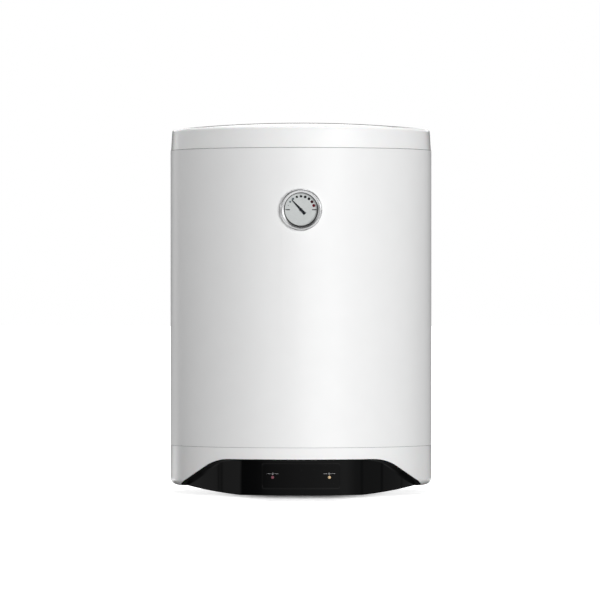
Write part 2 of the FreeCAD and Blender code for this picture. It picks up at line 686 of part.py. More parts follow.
def cable_gland():
    x, y = GLAND_XY
    z_hex = Z_FLOOR - GLAND_HEX_H
    body = hexagon(GLAND_AF, z_hex, Z_FLOOR, x, y)
    body = body.fuse(rod(GLAND_R, Z_FLOOR, Z_FLOOR_TOP + LOCKNUT_H + 2, x, y))
    z_dome = z_hex - GLAND_DOME_H
    dome = Part.makeCone(GLAND_BORE + SHELL_T, GLAND_AF / 2, GLAND_DOME_H, Vector(x, y, z_dome), UP)
    return body.fuse(dome).cut(rod(GLAND_BORE, Z_FOOT - FAR / 9, Z_FLOOR + FAR / 9, x, y))


def gland_locknut():
    z0 = Z_FLOOR_TOP
    nut = hexagon(GLAND_AF, z0, z0 + LOCKNUT_H, *GLAND_XY)
    return nut.cut(rod(GLAND_R + FIT / 3, z0 - 1, z0 + LOCKNUT_H + 1, *GLAND_XY))


def terminal_block():
    w, d, h = BLOCK_SIZE
    x, y = BLOCK_XY
    body = block(x - w / 2, x + w / 2, y - d / 2, y + d / 2, Z_FLOOR_TOP, Z_FLOOR_TOP + h)
    for i in (-1, 0, 1):
        body = body.cut(rod(SCREW_HEAD_R - FIT, Z_FLOOR_TOP + h / 2, Z_FLOOR_TOP + h + 1, x, y + i * d / 3))
    return body


# --- Tank --------------------------------------------------------------------------------
def crown_r(inset):
    """Crown radius of a dished head that meets its knuckle smoothly."""
    r = HEAD_R - inset
    rise = HEAD_RISE - inset
    knuckle = HEAD_KNUCKLE_R - inset
    return (rise ** 2 + (r - knuckle) ** 2 - knuckle ** 2) / (2 * (rise - knuckle))


def head_height(r):
    """Height of the lower head's outer face at a distance from the axis."""
    crown = crown_r(0)
    return Z_TANK_LOW - HEAD_RISE + crown - math.sqrt(crown ** 2 - r ** 2)


def head_body(inset, z_edge, way):
    """Dished end of the tank with its straight skirt, or its inside."""
    r = HEAD_R - inset
    rise = HEAD_RISE - inset
    knuckle = HEAD_KNUCKLE_R - inset
    crown = crown_r(inset)
    meet = math.degrees(math.atan2(crown - rise, r - knuckle))
    skirt = z_edge - HEAD_SKIRT
    body = lathe((0, skirt), (r, skirt), (r, z_edge), bend(r - knuckle, z_edge, knuckle, 0, meet),
                 bend(0, z_edge + rise - crown, crown, meet, 90))
    return body if way > 0 else body.mirror(Vector(0, 0, z_edge), UP)


def tank_head(z_edge, way):
    z_skirt = z_edge - way * HEAD_SKIRT
    mouth = rod(HEAD_R - TANK_T, z_skirt - 1, z_skirt + 1)
    return head_body(0, z_edge, way).cut(head_body(TANK_T, z_edge, way)).cut(mouth)


def tank_top_head():
    return tank_head(Z_TANK, 1)


def tank_bottom_head():
    head = tank_head(Z_TANK_LOW, -1)
    head = head.cut(rod(NECK_R + WELD_GAP, Z_RING, Z_TANK_LOW))
    for side in (-1, 1):
        head = head.cut(rod(NIPPLE_SHANK_R + WELD_GAP, Z_RING, Z_TANK_LOW, side * NIPPLE_X, NIPPLE_Y))
    return head


def tank_shell():
    shell = tube(TANK_R, TANK_R - TANK_T, Z_TANK_LOW, Z_TANK)
    return shell.cut(rod_y(BULB_POCKET_R + WELD_GAP, -FAR, 0, 0, Z_BULB))


def foam_insulation():
    z0 = Z_LOW_SEAM + FOAM_ABOVE_LOW_SEAM
    z_edge = Z_SEAM + SEAM_GAP / 2
    upper = rod(FOAM_R, z_edge, Z_SEAM + FOAM_ABOVE_SEAM).common(cap_body(SHELL_T + FIT, z_edge))
    foam = rod(FOAM_R, z0, z_edge).fuse(upper)
    core = rod(TANK_R + FIT, Z_TANK_LOW - FIT, Z_TANK + FIT)
    core = core.fuse([head_body(-FIT, Z_TANK, 1), head_body(-FIT, Z_TANK_LOW, -1)])
    foam = foam.cut(core).cut(rod(NECK_R + FIT, z0 - 1, Z_TANK_LOW))
    for side in (-1, 1):
        foam = foam.cut(rod(NIPPLE_SHANK_R + FIT, z0 - 1, Z_TANK_LOW, side * NIPPLE_X, NIPPLE_Y))
        foam = foam.cut(rod_y(SPACER_STEM_R + FIT, 0, FAR, side * SPACER_X, Z_SPACER))
    for hole in all_studs(M8_R + FIT, TANK_R - 1, FAR):
        foam = foam.cut(hole)
    foam = foam.cut(gauge_place(CLIP_R + FIT, -FAR, Y_CASE_BACK + FIT))
    slot = 2 * BULB_POCKET_R
    foam = foam.cut(block(-slot / 2, slot / 2, -FAR, -TANK_R + 1, Z_BULB - slot / 2, Z_GAUGE))
    return foam


def tank_flange():
    """Neck welded into the lower head, with the ring that the heater's plate bolts to."""
    neck = tube(NECK_R, NECK_R - NECK_T, Z_RING, Z_HEAD_LOW + NECK_IN)
    return neck.fuse(tube(FLANGE_R, NECK_R - NECK_T, Z_RING, Z_RING + FLANGE_RING_T)).removeSplitter()


def flange_places():
    turns = [2 * math.pi * i / FLANGE_BOLTS for i in range(FLANGE_BOLTS)]
    return [(FLANGE_PCD / 2 * math.cos(a), FLANGE_PCD / 2 * math.sin(a)) for a in turns]


def flange_studs():
    return [rod(M8_R, Z_PLATE - M8_NUT_H - THREAD_OVER, Z_RING, x, y) for x, y in flange_places()]


def nut(x, y):
    """Nut against the heater plate's lower face."""
    z0 = Z_PLATE - M8_NUT_H
    return hexagon(M8_NUT_AF, z0, Z_PLATE, x, y).cut(rod(M8_R + FIT / 3, z0 - 1, Z_PLATE + 1, x, y))


def flange_nuts():
    return [nut(x, y) for x, y in flange_places()]


def flange_gasket():
    gasket = tube(FLANGE_R, NECK_R - NECK_T, Z_GASKET, Z_RING)
    for x, y in flange_places():
        gasket = gasket.cut(rod(M8_R + FIT, Z_GASKET - 1, Z_RING + 1, x, y))
    return gasket


def element_legs():
    """Positions across the heater of the element's four legs."""
    return [ELEMENT_PITCH * k for k in (-1.5, -0.5, 0.5, 1.5)]


def heater_plate():
    plate = rod(FLANGE_R, Z_PLATE, Z_GASKET)
    legs = element_legs()
    holes = [(M8_R + FIT, x, y) for x, y in flange_places()]
    holes += [(M8_R + FIT, *ANODE_XY), (POCKET_R + WELD_GAP, *STAT_XY)]
    holes += [(ELEMENT_R + WELD_GAP, legs[0], ELEMENT_Y), (ELEMENT_R + WELD_GAP, legs[3], ELEMENT_Y)]
    for r, x, y in holes:
        plate = plate.cut(rod(r, Z_PLATE - 1, Z_GASKET + 1, x, y))
    return plate


def half_ring(x, z, way):
    """Half of a torus that joins two legs, above (way 1) or below (way -1)."""
    ring = Part.makeTorus(ELEMENT_PITCH / 2, ELEMENT_R, Vector(x, ELEMENT_Y, z), BACK)
    z0, z1 = (z, z + ELEMENT_PITCH) if way > 0 else (z - ELEMENT_PITCH, z)
    return ring.common(block(x - FAR, x + FAR, ELEMENT_Y - FAR, ELEMENT_Y + FAR, z0, z1))


def heating_element():
    legs = element_legs()
    top = Z_GASKET + ELEMENT_TOP
    low = Z_GASKET + ELEMENT_LOW_BEND + ELEMENT_PITCH / 2
    feet = [Z_PLATE - ELEMENT_TAIL, low, low, Z_PLATE - ELEMENT_TAIL]
    tubes = [rod(ELEMENT_R, foot, top, x, ELEMENT_Y) for x, foot in zip(legs, feet)]
    bends = [half_ring(-ELEMENT_PITCH, top, 1), half_ring(ELEMENT_PITCH, top, 1), half_ring(0, low, -1)]
    return tubes[0].fuse(tubes[1:] + bends).removeSplitter()


def element_beads():
    z1 = Z_PLATE - ELEMENT_TAIL
    legs = element_legs()
    return [rod(BEAD_R, z1 - BEAD_H, z1, x, ELEMENT_Y) for x in (legs[0], legs[3])]


def element_terminals():
    z1 = Z_PLATE - ELEMENT_TAIL - BEAD_H
    legs = element_legs()
    return [rod(TERMINAL_R, z1 - TERMINAL_L, z1, x, ELEMENT_Y) for x in (legs[0], legs[3])]


def anode_rod():
    z0 = Z_GASKET + ANODE_CLEAR
    stud = rod(M8_R, Z_PLATE - M8_NUT_H - THREAD_OVER, z0, *ANODE_XY)
    return rod(ANODE_R, z0, z0 + ANODE_L, *ANODE_XY).fuse(stud)


def anode_nut():
    return nut(*ANODE_XY)


def probe_pocket():
    """Closed tube in the heater plate that the thermostat's probe slides into."""
    pocket = rod(POCKET_R, Z_PLATE, Z_PLATE + POCKET_L, *STAT_XY)
    return pocket.cut(rod(POCKET_R - POCKET_T, Z_PLATE - 1, Z_PLATE + POCKET_L - POCKET_T, *STAT_XY))


def thermostat_probe():
    return rod(PROBE_R, Z_STAT, Z_PLATE + POCKET_L - 2 * POCKET_T, *STAT_XY)


# --- Wiring ------------------------------------------------------------------------------
def block_exit(i):
    """Where a wire leaves the terminal block."""
    x, y = BLOCK_XY
    w, d, h = BLOCK_SIZE
    return (x + w / 2, y + i * d / 3, Z_FLOOR_TOP + h / 2)


def wire_live():
    x, y, z = block_exit(-1)
    x_end = STAT_XY[0] - STAT_SIZE[0] / 2
    z_end = Z_STAT - STAT_SIZE[2] / 2
    return wire_tube([(x, y, z), (x + 16, y, z), (x + 34, y - 22, z + 7),
                      (x_end - 18, STAT_XY[1], z_end), (x_end, STAT_XY[1], z_end)], WIRE_R)


def wire_neutral():
    x, y, z = block_exit(0)
    x_end = element_legs()[0] - TERMINAL_R
    z_end = Z_PLATE - ELEMENT_TAIL - BEAD_H - TERMINAL_L / 2
    return wire_tube([(x, y, z), (x + 14, y, z), (x + 30, y - 14, z + 9),
                      (x_end - 12, ELEMENT_Y, z_end), (x_end, ELEMENT_Y, z_end)], WIRE_R)


def wire_earth():
    x, y, z = block_exit(1)
    stud_x, stud_y = flange_places()[2]
    z_end = Z_PLATE - M8_NUT_H - THREAD_OVER - WIRE_R
    return wire_tube([(x, y, z), (x + 14, y, z), (x + 32, y - 4, z + 14),
                      (stud_x - 12, stud_y, z_end), (stud_x + M8_R / 2, stud_y, z_end)], WIRE_R)


def wire_link():
    """Switched live from the thermostat to the element's other end."""
    x = STAT_XY[0] + STAT_SIZE[0] / 2
    y = STAT_XY[1]
    z = Z_PLATE - ELEMENT_TAIL - BEAD_H - TERMINAL_L / 2
    x_end = element_legs()[3] + TERMINAL_R
    return wire_tube([(x, y, z), (x + 14, y, z), (x_end + 18, ELEMENT_Y - 14, z - 1),
                      (x_end + 12, ELEMENT_Y, z), (x_end, ELEMENT_Y, z)], WIRE_R)


def lamp_leads():
    y_back = Y_BOARD + BOARD_T
    y_stat = STAT_XY[1] - STAT_SIZE[1] / 2
    z_top = Z_FLOOR_TOP + 2 * FASCIA_TOP_OVER_FLOOR
    z_end = Z_STAT - STAT_SIZE[2] / 2
    return wire_tube([(0, y_back, Z_WINDOW), (0, y_back + 18, Z_WINDOW), (3, y_back + 55, z_top - 4),
                      (5, -FASCIA_BACK, z_top), (STAT_XY[0], y_stat - 12, z_end),
                      (STAT_XY[0], y_stat, z_end)], LEAD_R)


# --- Wall fixing -------------------------------------------------------------------------
def wall_bracket():
    """Hat-shaped steel strip: slotted face on the wall, curved feet on the jacket."""
    half = BRACKET_W / 2
    hat = block(-half, half, 0, WALL_Y, -BRACKET_H / 2, BRACKET_H / 2)
    edges = [e for e in hat.Edges if abs(e.tangentAt(e.FirstParameter).z) > 0.9 and e.BoundBox.YMin > 1]
    hat = hat.makeFillet(BRACKET_BEND_R, edges)
    inner = half - BRACKET_T
    core = block(-inner, inner, -1, WALL_Y - BRACKET_T, -BRACKET_H, BRACKET_H)
    edges = [e for e in core.Edges if abs(e.tangentAt(e.FirstParameter).z) > 0.9 and e.BoundBox.YMin > 1]
    hat = hat.cut(core.makeFillet(BRACKET_BEND_R - BRACKET_T, edges))
    feet = tube(PAD_FACE_R, PAD_R, -BRACKET_H / 2, BRACKET_H / 2)
    for side in (-1, 1):
        x0, x1 = sorted((side * inner, side * (inner + PAD_W)))
        hat = hat.fuse(feet.common(block(x0, x1, 0, FAR, -BRACKET_H, BRACKET_H)))
    hat = hat.cut(rod(PAD_R, -BRACKET_H, BRACKET_H))
    for side in (-1, 1):
        hat = hat.cut(rounded_slab(SLOT_L, SLOT_W, SLOT_W / 2 - 1e-4, WALL_Y - 2 * BRACKET_T, FAR,
                                   side * SLOT_SPACING / 2, 0))
    for hole in all_studs(M8_R + FIT, TANK_R, FAR):
        hat = hat.cut(hole)
    return hat.removeSplitter()


def bracket_studs():
    z_end = PAD_FACE_R + FIT + M8_NUT_H + THREAD_OVER
    return [stud.cut(rod(TANK_R + WELD_GAP, -FAR, FAR)) for stud in all_studs(M8_R, TANK_R - 1, z_end)]


def bracket_nuts():
    """Nuts on the bracket's curved feet."""
    nuts = []
    turn = math.radians(STUD_TURN)
    for side in (-1, 1):
        for height in (-STUD_Z, STUD_Z):
            piece = hexagon(M8_NUT_AF, 0, M8_NUT_H).cut(rod(M8_R + FIT / 3, -1, M8_NUT_H + 1))
            away = Vector(side * math.sin(turn), math.cos(turn), 0)
            place = FreeCAD.Placement(away * (PAD_FACE_R + FIT / 3) + UP * height,
                                      FreeCAD.Rotation(UP, away))
            nuts.append(piece.transformGeometry(place.toMatrix()))
    return nuts


def wall_spacers():
    """Buffers that hold the heater's lower end off the wall."""
    pads = []
    for side in (-1, 1):
        x = side * SPACER_X
        pad = rod_y(SPACER_R, 0, WALL_Y, x, Z_SPACER).cut(rod(JACKET_R + FIT, -FAR - FAR, FAR))
        y_skin = math.sqrt(JACKET_R ** 2 - SPACER_X ** 2)
        stem = rod_y(SPACER_STEM_R, y_skin - SPACER_STEM_L, WALL_Y - 1, x, Z_SPACER)
        pads.append(pad.fuse(stem).removeSplitter())
    return pads


# --- Thermometer -------------------------------------------------------------------------
def gauge_bezel():
    ring = rod_y(BEZEL_R, Y_BEZEL, 0, 0, Z_GAUGE)
    edge = [e for e in ring.Edges if abs(e.BoundBox.YMax - Y_BEZEL) < 1e-3]
    ring = ring.makeFillet(BEZEL_EDGE_R, edge)
    ring = ring.cut(rod_y(BEZEL_LIP_R, Y_BEZEL - 1, 1, 0, Z_GAUGE))
    ring = ring.cut(rod_y(CASE_R + FIT, Y_LENS, 1, 0, Z_GAUGE))
    return ring.cut(rod(JACKET_R + FIT, Z_GAUGE - FAR, Z_GAUGE + FAR))


def gauge_lens():
    return rod_y(CASE_R, Y_LENS, Y_CASE, 0, Z_GAUGE)


def gauge_case():
    case = rod_y(CASE_R, Y_CASE, Y_CASE_BACK, 0, Z_GAUGE)
    case = case.cut(rod_y(CASE_R - CASE_T, Y_CASE - 1, Y_DIAL_BACK, 0, Z_GAUGE))
    case = case.cut(rod_y(CASE_R - 2 * CASE_T, Y_DIAL, Y_CASE_BACK - CASE_T, 0, Z_GAUGE))
    hole = rod(CAPILLARY_R + FIT, Z_GAUGE - CASE_R - 1, Z_GAUGE - CASE_R / 2, 0, capillary_y())
    return case.cut(hole)


def gauge_dial():
    dial = rod_y(DIAL_R, Y_DIAL, Y_DIAL_BACK, 0, Z_GAUGE)
    return dial.cut(rod_y(PIVOT_R + FIT, Y_DIAL - 1, Y_DIAL_BACK + 1, 0, Z_GAUGE))


def needle_plane():
    """Rear face of the needle's plate."""
    return Y_DIAL - NEEDLE_OVER_DIAL - NEEDLE_T / 2


def gauge_needle():
    """Tapered pointer, drawn towards the left dash and turned up to its rest position."""
    y1 = needle_plane()
    tip = NEEDLE_TIP_W / 2
    tail = NEEDLE_TAIL_W / 2
    blade = Part.Face(outline((-NEEDLE_L, -tip), (NEEDLE_TAIL, -tail), (NEEDLE_TAIL, tail), (-NEEDLE_L, tip)))
    blade.translate(Vector(0, y1 - NEEDLE_T, 0))
    pointer = blade.extrude(BACK * NEEDLE_T)
    hub = rod_y(NEEDLE_HUB_R, y1 - 2 * NEEDLE_T, Y_DIAL - NEEDLE_OVER_DIAL / 2, 0, 0)
    pointer = pointer.fuse(hub)
    pointer.rotate(ORIGIN, BACK, NEEDLE_RISE)
    pointer.translate(UP * Z_GAUGE)
    return pointer


def gauge_pivot():
    return rod_y(PIVOT_R, Y_DIAL - NEEDLE_OVER_DIAL / 2, Y_MOVEMENT + MOVEMENT_L / 3, 0, Z_GAUGE)


def gauge_movement():
    """Housing of the coiled spring tube that turns the needle."""
    body = rod_y(MOVEMENT_R, Y_MOVEMENT, Y_MOVEMENT + MOVEMENT_L, 0, Z_GAUGE)
    foot = rod_y(MOVEMENT_R / 2, Y_MOVEMENT, Y_CASE_BACK - CASE_T, 0, Z_GAUGE)
    body = body.fuse(foot).removeSplitter()
    return body.cut(rod_y(PIVOT_R + FIT, Y_MOVEMENT - 1, Y_MOVEMENT + MOVEMENT_L / 2, 0, Z_GAUGE))


def gauge_clip():
    """Spring ring behind the jacket that keeps the case in its hole."""
    y1 = -math.sqrt(JACKET_BORE ** 2 - CLIP_R ** 2) + CLIP_T
    ring = rod_y(CLIP_R, y1 - CLIP_T, y1, 0, Z_GAUGE)
    ring = ring.cut(rod_y(CASE_R + FIT / 3, y1 - FAR, y1 + 1, 0, Z_GAUGE))
    gap = block(-CLIP_R / 4, CLIP_R / 4, y1 - FAR, y1 + 1, Z_GAUGE, Z_GAUGE + FAR)
    return ring.common(rod(JACKET_BORE - FIT / 3, Z_GAUGE - FAR, Z_GAUGE + FAR)).cut(gap)


def capillary_y():
    """The capillary leaves the case below, halfway between the movement and the back."""
    return (Y_MOVEMENT + Y_CASE_BACK) / 2


def gauge_capillary():
    y = capillary_y()
    z_start = Z_GAUGE - CASE_R + CASE_T
    return wire_tube([(0, y, z_start), (0, y, Z_BULB), (0, -TANK_R, Z_BULB)], CAPILLARY_R)


def gauge_bulb():
    return rod_y(BULB_R, -TANK_R, -TANK_R + BULB_L, 0, Z_BULB)


def bulb_pocket():
    y0 = -TANK_R - BULB_POCKET_OUT
    y1 = -TANK_R + BULB_L + 2 * BULB_POCKET_T
    pocket = rod_y(BULB_POCKET_R, y0, y1, 0, Z_BULB)
    return pocket.cut(rod_y(BULB_POCKET_R - BULB_POCKET_T, y0 - 1, y1 - BULB_POCKET_T, 0, Z_BULB))


# --- All pieces --------------------------------------------------------------------------
PIECES = {
    "outer_jacket": outer_jacket,
    "top_cover": top_cover,
    "lower_cover": lower_cover,
    "front_fascia": front_fascia,
    "indicator_window": indicator_window,
    "power_lamp": lambda: lamp(-1),
    "heating_lamp": lambda: lamp(1),
    "lamp_board": lamp_board,
    "fascia_screws": fascia_screws,
    "service_cover": service_cover,
    "service_cover_screws": service_cover_screws,
    "control_knob": control_knob,
    "thermostat_spindle": thermostat_spindle,
    "thermostat_body": thermostat_body,
    "thermostat_probe": thermostat_probe,
    "probe_pocket": probe_pocket,
    "reset_button": reset_button,
    "cold_inlet_nipple": lambda: nipple(1),
    "hot_outlet_nipple": lambda: nipple(-1),
    "cold_collar": lambda: collar(1),
    "hot_collar": lambda: collar(-1),
    "inlet_diffuser": inlet_diffuser,
    "hot_outlet_pipe": hot_pipe,
    "cable_gland": cable_gland,
    "gland_locknut": gland_locknut,
    "terminal_block": terminal_block,
    "wire_live": wire_live,
    "wire_neutral": wire_neutral,
    "wire_earth": wire_earth,
    "wire_link": wire_link,
    "lamp_leads": lamp_leads,
    "foam_insulation": foam_insulation,
    "tank_shell": tank_shell,
    "tank_top_head": tank_top_head,
    "tank_bottom_head": tank_bottom_head,
    "tank_flange": tank_flange,
    "flange_gasket": flange_gasket,
    "heater_plate": heater_plate,
    "flange_studs": flange_studs,
    "flange_nuts": flange_nuts,
    "heating_element": heating_element,
    "element_beads": element_beads,
    "element_terminals": element_terminals,
    "anode_rod": anode_rod,
    "anode_nut": anode_nut,
    "wall_bracket": wall_bracket,
    "bracket_studs": bracket_studs,
    "bracket_nuts": bracket_nuts,
    "wall_spacers": wall_spacers,
    "gauge_bezel": gauge_bezel,
    "gauge_lens": gauge_lens,
    "gauge_case": gauge_case,
    "gauge_dial": gauge_dial,
    "gauge_needle": gauge_needle,
    "gauge_pivot": gauge_pivot,
    "gauge_movement": gauge_movement,
    "gauge_clip": gauge_clip,
    "gauge_capillary": gauge_capillary,
    "gauge_bulb": gauge_bulb,
    "bulb_pocket": bulb_pocket,
}


def write_piece(name, shape):
    """Move a piece, or a group of like pieces, to the wall frame and write it."""
    group = Part.makeCompound(shape) if isinstance(shape, list) else shape
    group.translate(BACK * -WALL_Y)
    group.exportStep(os.path.join("parts", name + ".step"))
    print(f"{name}: {len(group.Solids)} solid(s), {group.Volume:.0f} mm3, valid {group.isValid()}")


os.makedirs("parts", exist_ok=True)
for piece_name, make in PIECES.items():
    write_piece(piece_name, make())
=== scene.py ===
"""Wall-hung tank water heater: finishes, fine pieces, studio and camera around the CAD frame."""
import math

import bpy
import numpy as np
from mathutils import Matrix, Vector


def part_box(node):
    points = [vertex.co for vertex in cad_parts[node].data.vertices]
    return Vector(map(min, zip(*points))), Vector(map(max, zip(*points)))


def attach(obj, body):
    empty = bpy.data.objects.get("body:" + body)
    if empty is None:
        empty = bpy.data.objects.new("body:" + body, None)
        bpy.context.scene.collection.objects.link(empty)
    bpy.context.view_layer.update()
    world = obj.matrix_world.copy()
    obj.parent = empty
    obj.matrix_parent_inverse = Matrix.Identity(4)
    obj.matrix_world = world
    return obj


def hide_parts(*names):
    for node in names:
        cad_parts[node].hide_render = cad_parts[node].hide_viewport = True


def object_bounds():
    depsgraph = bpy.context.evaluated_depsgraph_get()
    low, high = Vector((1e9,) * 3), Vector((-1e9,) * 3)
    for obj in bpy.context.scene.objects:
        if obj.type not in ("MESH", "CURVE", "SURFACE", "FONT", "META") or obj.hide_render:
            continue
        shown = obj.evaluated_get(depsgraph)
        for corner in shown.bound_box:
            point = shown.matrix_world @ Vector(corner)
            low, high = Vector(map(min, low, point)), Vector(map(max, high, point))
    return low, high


bl_info = {
    "name": "Tank Water Heater",
    "version": (1, 0, 0),
    "blender": (4, 5, 0),
    "location": "View3D > Sidebar > Heater",
    "description": "Finishes, fine pieces and studio of a wall-hung electric water heater",
    "category": "Object",
}

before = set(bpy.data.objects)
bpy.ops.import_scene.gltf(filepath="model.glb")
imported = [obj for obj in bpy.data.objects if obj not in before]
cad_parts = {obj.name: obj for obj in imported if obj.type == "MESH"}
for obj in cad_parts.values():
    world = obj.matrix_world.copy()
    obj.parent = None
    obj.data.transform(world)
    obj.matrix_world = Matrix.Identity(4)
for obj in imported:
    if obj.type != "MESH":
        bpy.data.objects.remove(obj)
CAD_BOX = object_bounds()
MM = 0.001
MICRON = 1e-6


# --- Places read from the frame ---
def limits(node):
    """A CAD node's box as two numpy rows, its low and its high corner."""
    return np.array([list(v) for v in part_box(node)])


JACKET = limits("outer_jacket")
AXIS_Y = float(JACKET[:, 1].mean())
JACKET_R = float(JACKET[1, 1] - JACKET[0, 1]) / 2
COVER = limits("lower_cover")
DIAL = limits("gauge_dial")
BEZEL = limits("gauge_bezel")
LENS = limits("gauge_lens")
GAUGE_Z = float(DIAL[:, 2].mean())
WINDOW = limits("indicator_window")
FASCIA_R = AXIS_Y - float(WINDOW[0, 1])
POWER_LAMP = limits("power_lamp")
HEATING_LAMP = limits("heating_lamp")
KNOB = limits("control_knob")
SERVICE = limits("service_cover")

# Sizes of the CAD part that its boxes don't show.
SHEET = 0.8 * MM  # thickness of the jacket's sheet
COVER_LIP = 8.5 * MM  # top of the lower cover's lip to the cover's edge
BEZEL_WIDTH = 7.0 * MM  # bezel's outside to the lens's opening
WINDOW_CORNER = 3.5 * MM  # radius of the window's corners
KNOB_CENTRE = np.array([6.0 * MM, AXIS_Y - 14.0 * MM])
KNOB_GRIP = 17.0 * MM  # radius of the knob's grip
SERVICE_PLATE = 2.5 * MM  # top of the service cover to its face
WATER_BORE = 7.5 * MM  # radius inside a water connection
SHANK = 10.0 * MM  # its radius above the thread
THREAD_LENGTH = 22.0 * MM


# --- Sizes and colours that a user may change ---
def length(name, text, value):
    """Length property in metres."""
    return bpy.props.FloatProperty(name=name, description=text, default=value, unit="LENGTH",
                                   precision=5)


def colour(name, text, value):
    """Linear colour property."""
    return bpy.props.FloatVectorProperty(name=name, description=text, default=value, size=3,
                                         subtype="COLOR", min=0.0, max=1.0)


def number(name, text, value):
    """Plain number property."""
    return bpy.props.FloatProperty(name=name, description=text, default=value, precision=4)


def angle(name, text, degrees):
    """Angle property, its default given in degrees."""
    return bpy.props.FloatProperty(name=name, description=text, default=math.radians(degrees),
                                   subtype="ANGLE", unit="ROTATION")


class HeaterSizes(bpy.types.PropertyGroup):
    """Sizes of the fine pieces."""
    mark_radius: length("Mark circle", "Radius of the circle of dots on the dial", 22.7 * MM)
    first_mark: length("First dot", "Diameter of the coolest dot", 1.6 * MM)
    last_mark: length("Last dot", "Diameter of the hottest dot", 5.3 * MM)
    dash: length("Dash", "Length of the two dashes", 7.4 * MM)
    print_height: length("Print height", "How far printed marks stand up", 0.05 * MM)
    crest_radius: length("Bezel crest", "Radius of the bezel's foremost circle", 32.0 * MM)
    # The lens gasket's dark ring stands partly for the shade at the lens's edge.
    gasket_and_shade_width: length("Lens gasket", "Width of the ring seal around the lens", 1.5 * MM)
    window_bead: length("Window bead", "Half the width of the bead round the window", 0.45 * MM)
    seam_width: length("Seam width", "Width of the jacket's folded seam", 9.0 * MM)
    seam_height: length("Seam height", "How far the folded seam stands up", 0.9 * MM)


class HeaterColours(bpy.types.PropertyGroup):
    """Main colours."""
    paint: colour("Jacket paint", "Stoved enamel on the jacket", (0.86, 0.862, 0.862))
    cover: colour("Covers", "Moulded covers", (0.893, 0.894, 0.894))
    fascia: colour("Fascia", "Gloss black moulding", (0.0016, 0.0017, 0.0018))
    dial: colour("Dial", "Silver paint of the dial", (0.605, 0.612, 0.612))


class HeaterStudio(bpy.types.PropertyGroup):
    """Camera and lamps."""
    distance: length("Camera distance", "Camera to the tank's axis", 9.6)
    eye_level: length("Eye level", "Height of the camera", -0.1548)
    side: length("Camera side", "Camera to the right of the axis", -0.0017)
    lens: number("Focal length", "Millimetres on a 36 mm sensor", 333.7)
    key: number("Key lamp", "Strength of the front lamp", 3.22)
    key_turn: angle("Key lamp's side", "Front lamp to the right of straight ahead", 17)
    key_rise: angle("Key lamp's height", "Front lamp above the horizon", 4)
    left: number("Left back lamp", "Strength of the lamp behind the left side", 1.5)
    right: number("Right back lamp", "Strength of the lamp behind the right side", 0.28)
    top: number("Top lamp", "Strength of the overhead lamp", 2.2)
    under: number("Floor bounce", "Strength of the light from the floor", 0.35)
    ambient: number("Ambient", "Plain light from all sides", 0.02)


# --- Shader tools ---
def put(tree, kind, inputs=None, **settings):
    """New node with its settings and unlinked socket values."""
    node = tree.nodes.new(kind)
    for key, value in settings.items():
        setattr(node, key, value)
    for key, value in (inputs or {}).items():
        node.inputs[key].default_value = value
    return node


def wire(tree, *links):
    """Links, each given as a node, its output, the next node and its input."""
    for source, output, target, socket in links:
        tree.links.new(source.outputs[output], target.inputs[socket])


def group_tree(name, **inputs):
    """Node group with the input Vector, further inputs with their values and the outputs Height
    and Tone.  Returns the group and its two end nodes."""
    tree = bpy.data.node_groups.new(name, "ShaderNodeTree")
    sockets = tree.interface
    sockets.new_socket("Vector", in_out="INPUT", socket_type="NodeSocketVector")
    for key, value in inputs.items():
        kind = "NodeSocketVector" if isinstance(value, tuple) else "NodeSocketFloat"
        sockets.new_socket(key, in_out="INPUT", socket_type=kind).default_value = value
    for key in ("Height", "Tone"):
        sockets.new_socket(key, in_out="OUTPUT", socket_type="NodeSocketFloat")
    return tree, put(tree, "NodeGroupInput"), put(tree, "NodeGroupOutput")


def make_peel_group():
    """Height: a rounded noise at Scale with a finer one at four times it.  Tone: a slow noise
    a tenth as dense, for drifts of colour and gloss."""
    tree, start, end = group_tree("Paint Peel", Scale=200.0, Fine=0.25)
    coarse = put(tree, "ShaderNodeTexNoise", {"Detail": 1.0, "Roughness": 0.4})
    fine = put(tree, "ShaderNodeTexNoise", {"Detail": 2.0, "Roughness": 0.6})
    slow = put(tree, "ShaderNodeTexNoise", {"Detail": 3.0, "Roughness": 0.5})
    for node, factor in ((coarse, 1.0), (fine, 4.0), (slow, 0.1)):
        scale = put(tree, "ShaderNodeMath", {1: factor}, operation="MULTIPLY")
        wire(tree, (start, "Scale", scale, 0), (start, "Vector", node, "Vector"),
             (scale, 0, node, "Scale"))
    blend = put(tree, "ShaderNodeMix", data_type="FLOAT")
    wire(tree, (start, "Fine", blend, 0), (coarse, "Fac", blend, 2), (fine, "Fac", blend, 3),
         (blend, 0, end, "Height"), (slow, "Fac", end, "Tone"))
    return tree


def make_drawn_group():
    """Lines of a drawn, turned or brushed surface: a noise whose coordinates are stretched by
    Stretch, so that it varies quickly across the lines and slowly along them."""
    tree, start, end = group_tree("Drawn Grain", Scale=200.0, Stretch=(1.0, 1.0, 0.05))
    stretch = put(tree, "ShaderNodeVectorMath", operation="MULTIPLY")
    lines = put(tree, "ShaderNodeTexNoise", {"Detail": 4.0, "Roughness": 0.7})
    slow = put(tree, "ShaderNodeTexNoise", {"Detail": 2.0, "Scale": 30.0})
    blend = put(tree, "ShaderNodeMix", {0: 0.35}, data_type="FLOAT")
    wire(tree, (start, "Vector", stretch, 0), (start, "Stretch", stretch, 1),
         (stretch, 0, lines, "Vector"), (start, "Scale", lines, "Scale"),
         (start, "Vector", slow, "Vector"), (lines, "Fac", blend, 2), (slow, "Fac", blend, 3),
         (lines, "Fac", end, "Height"), (blend, 0, end, "Tone"))
    return tree


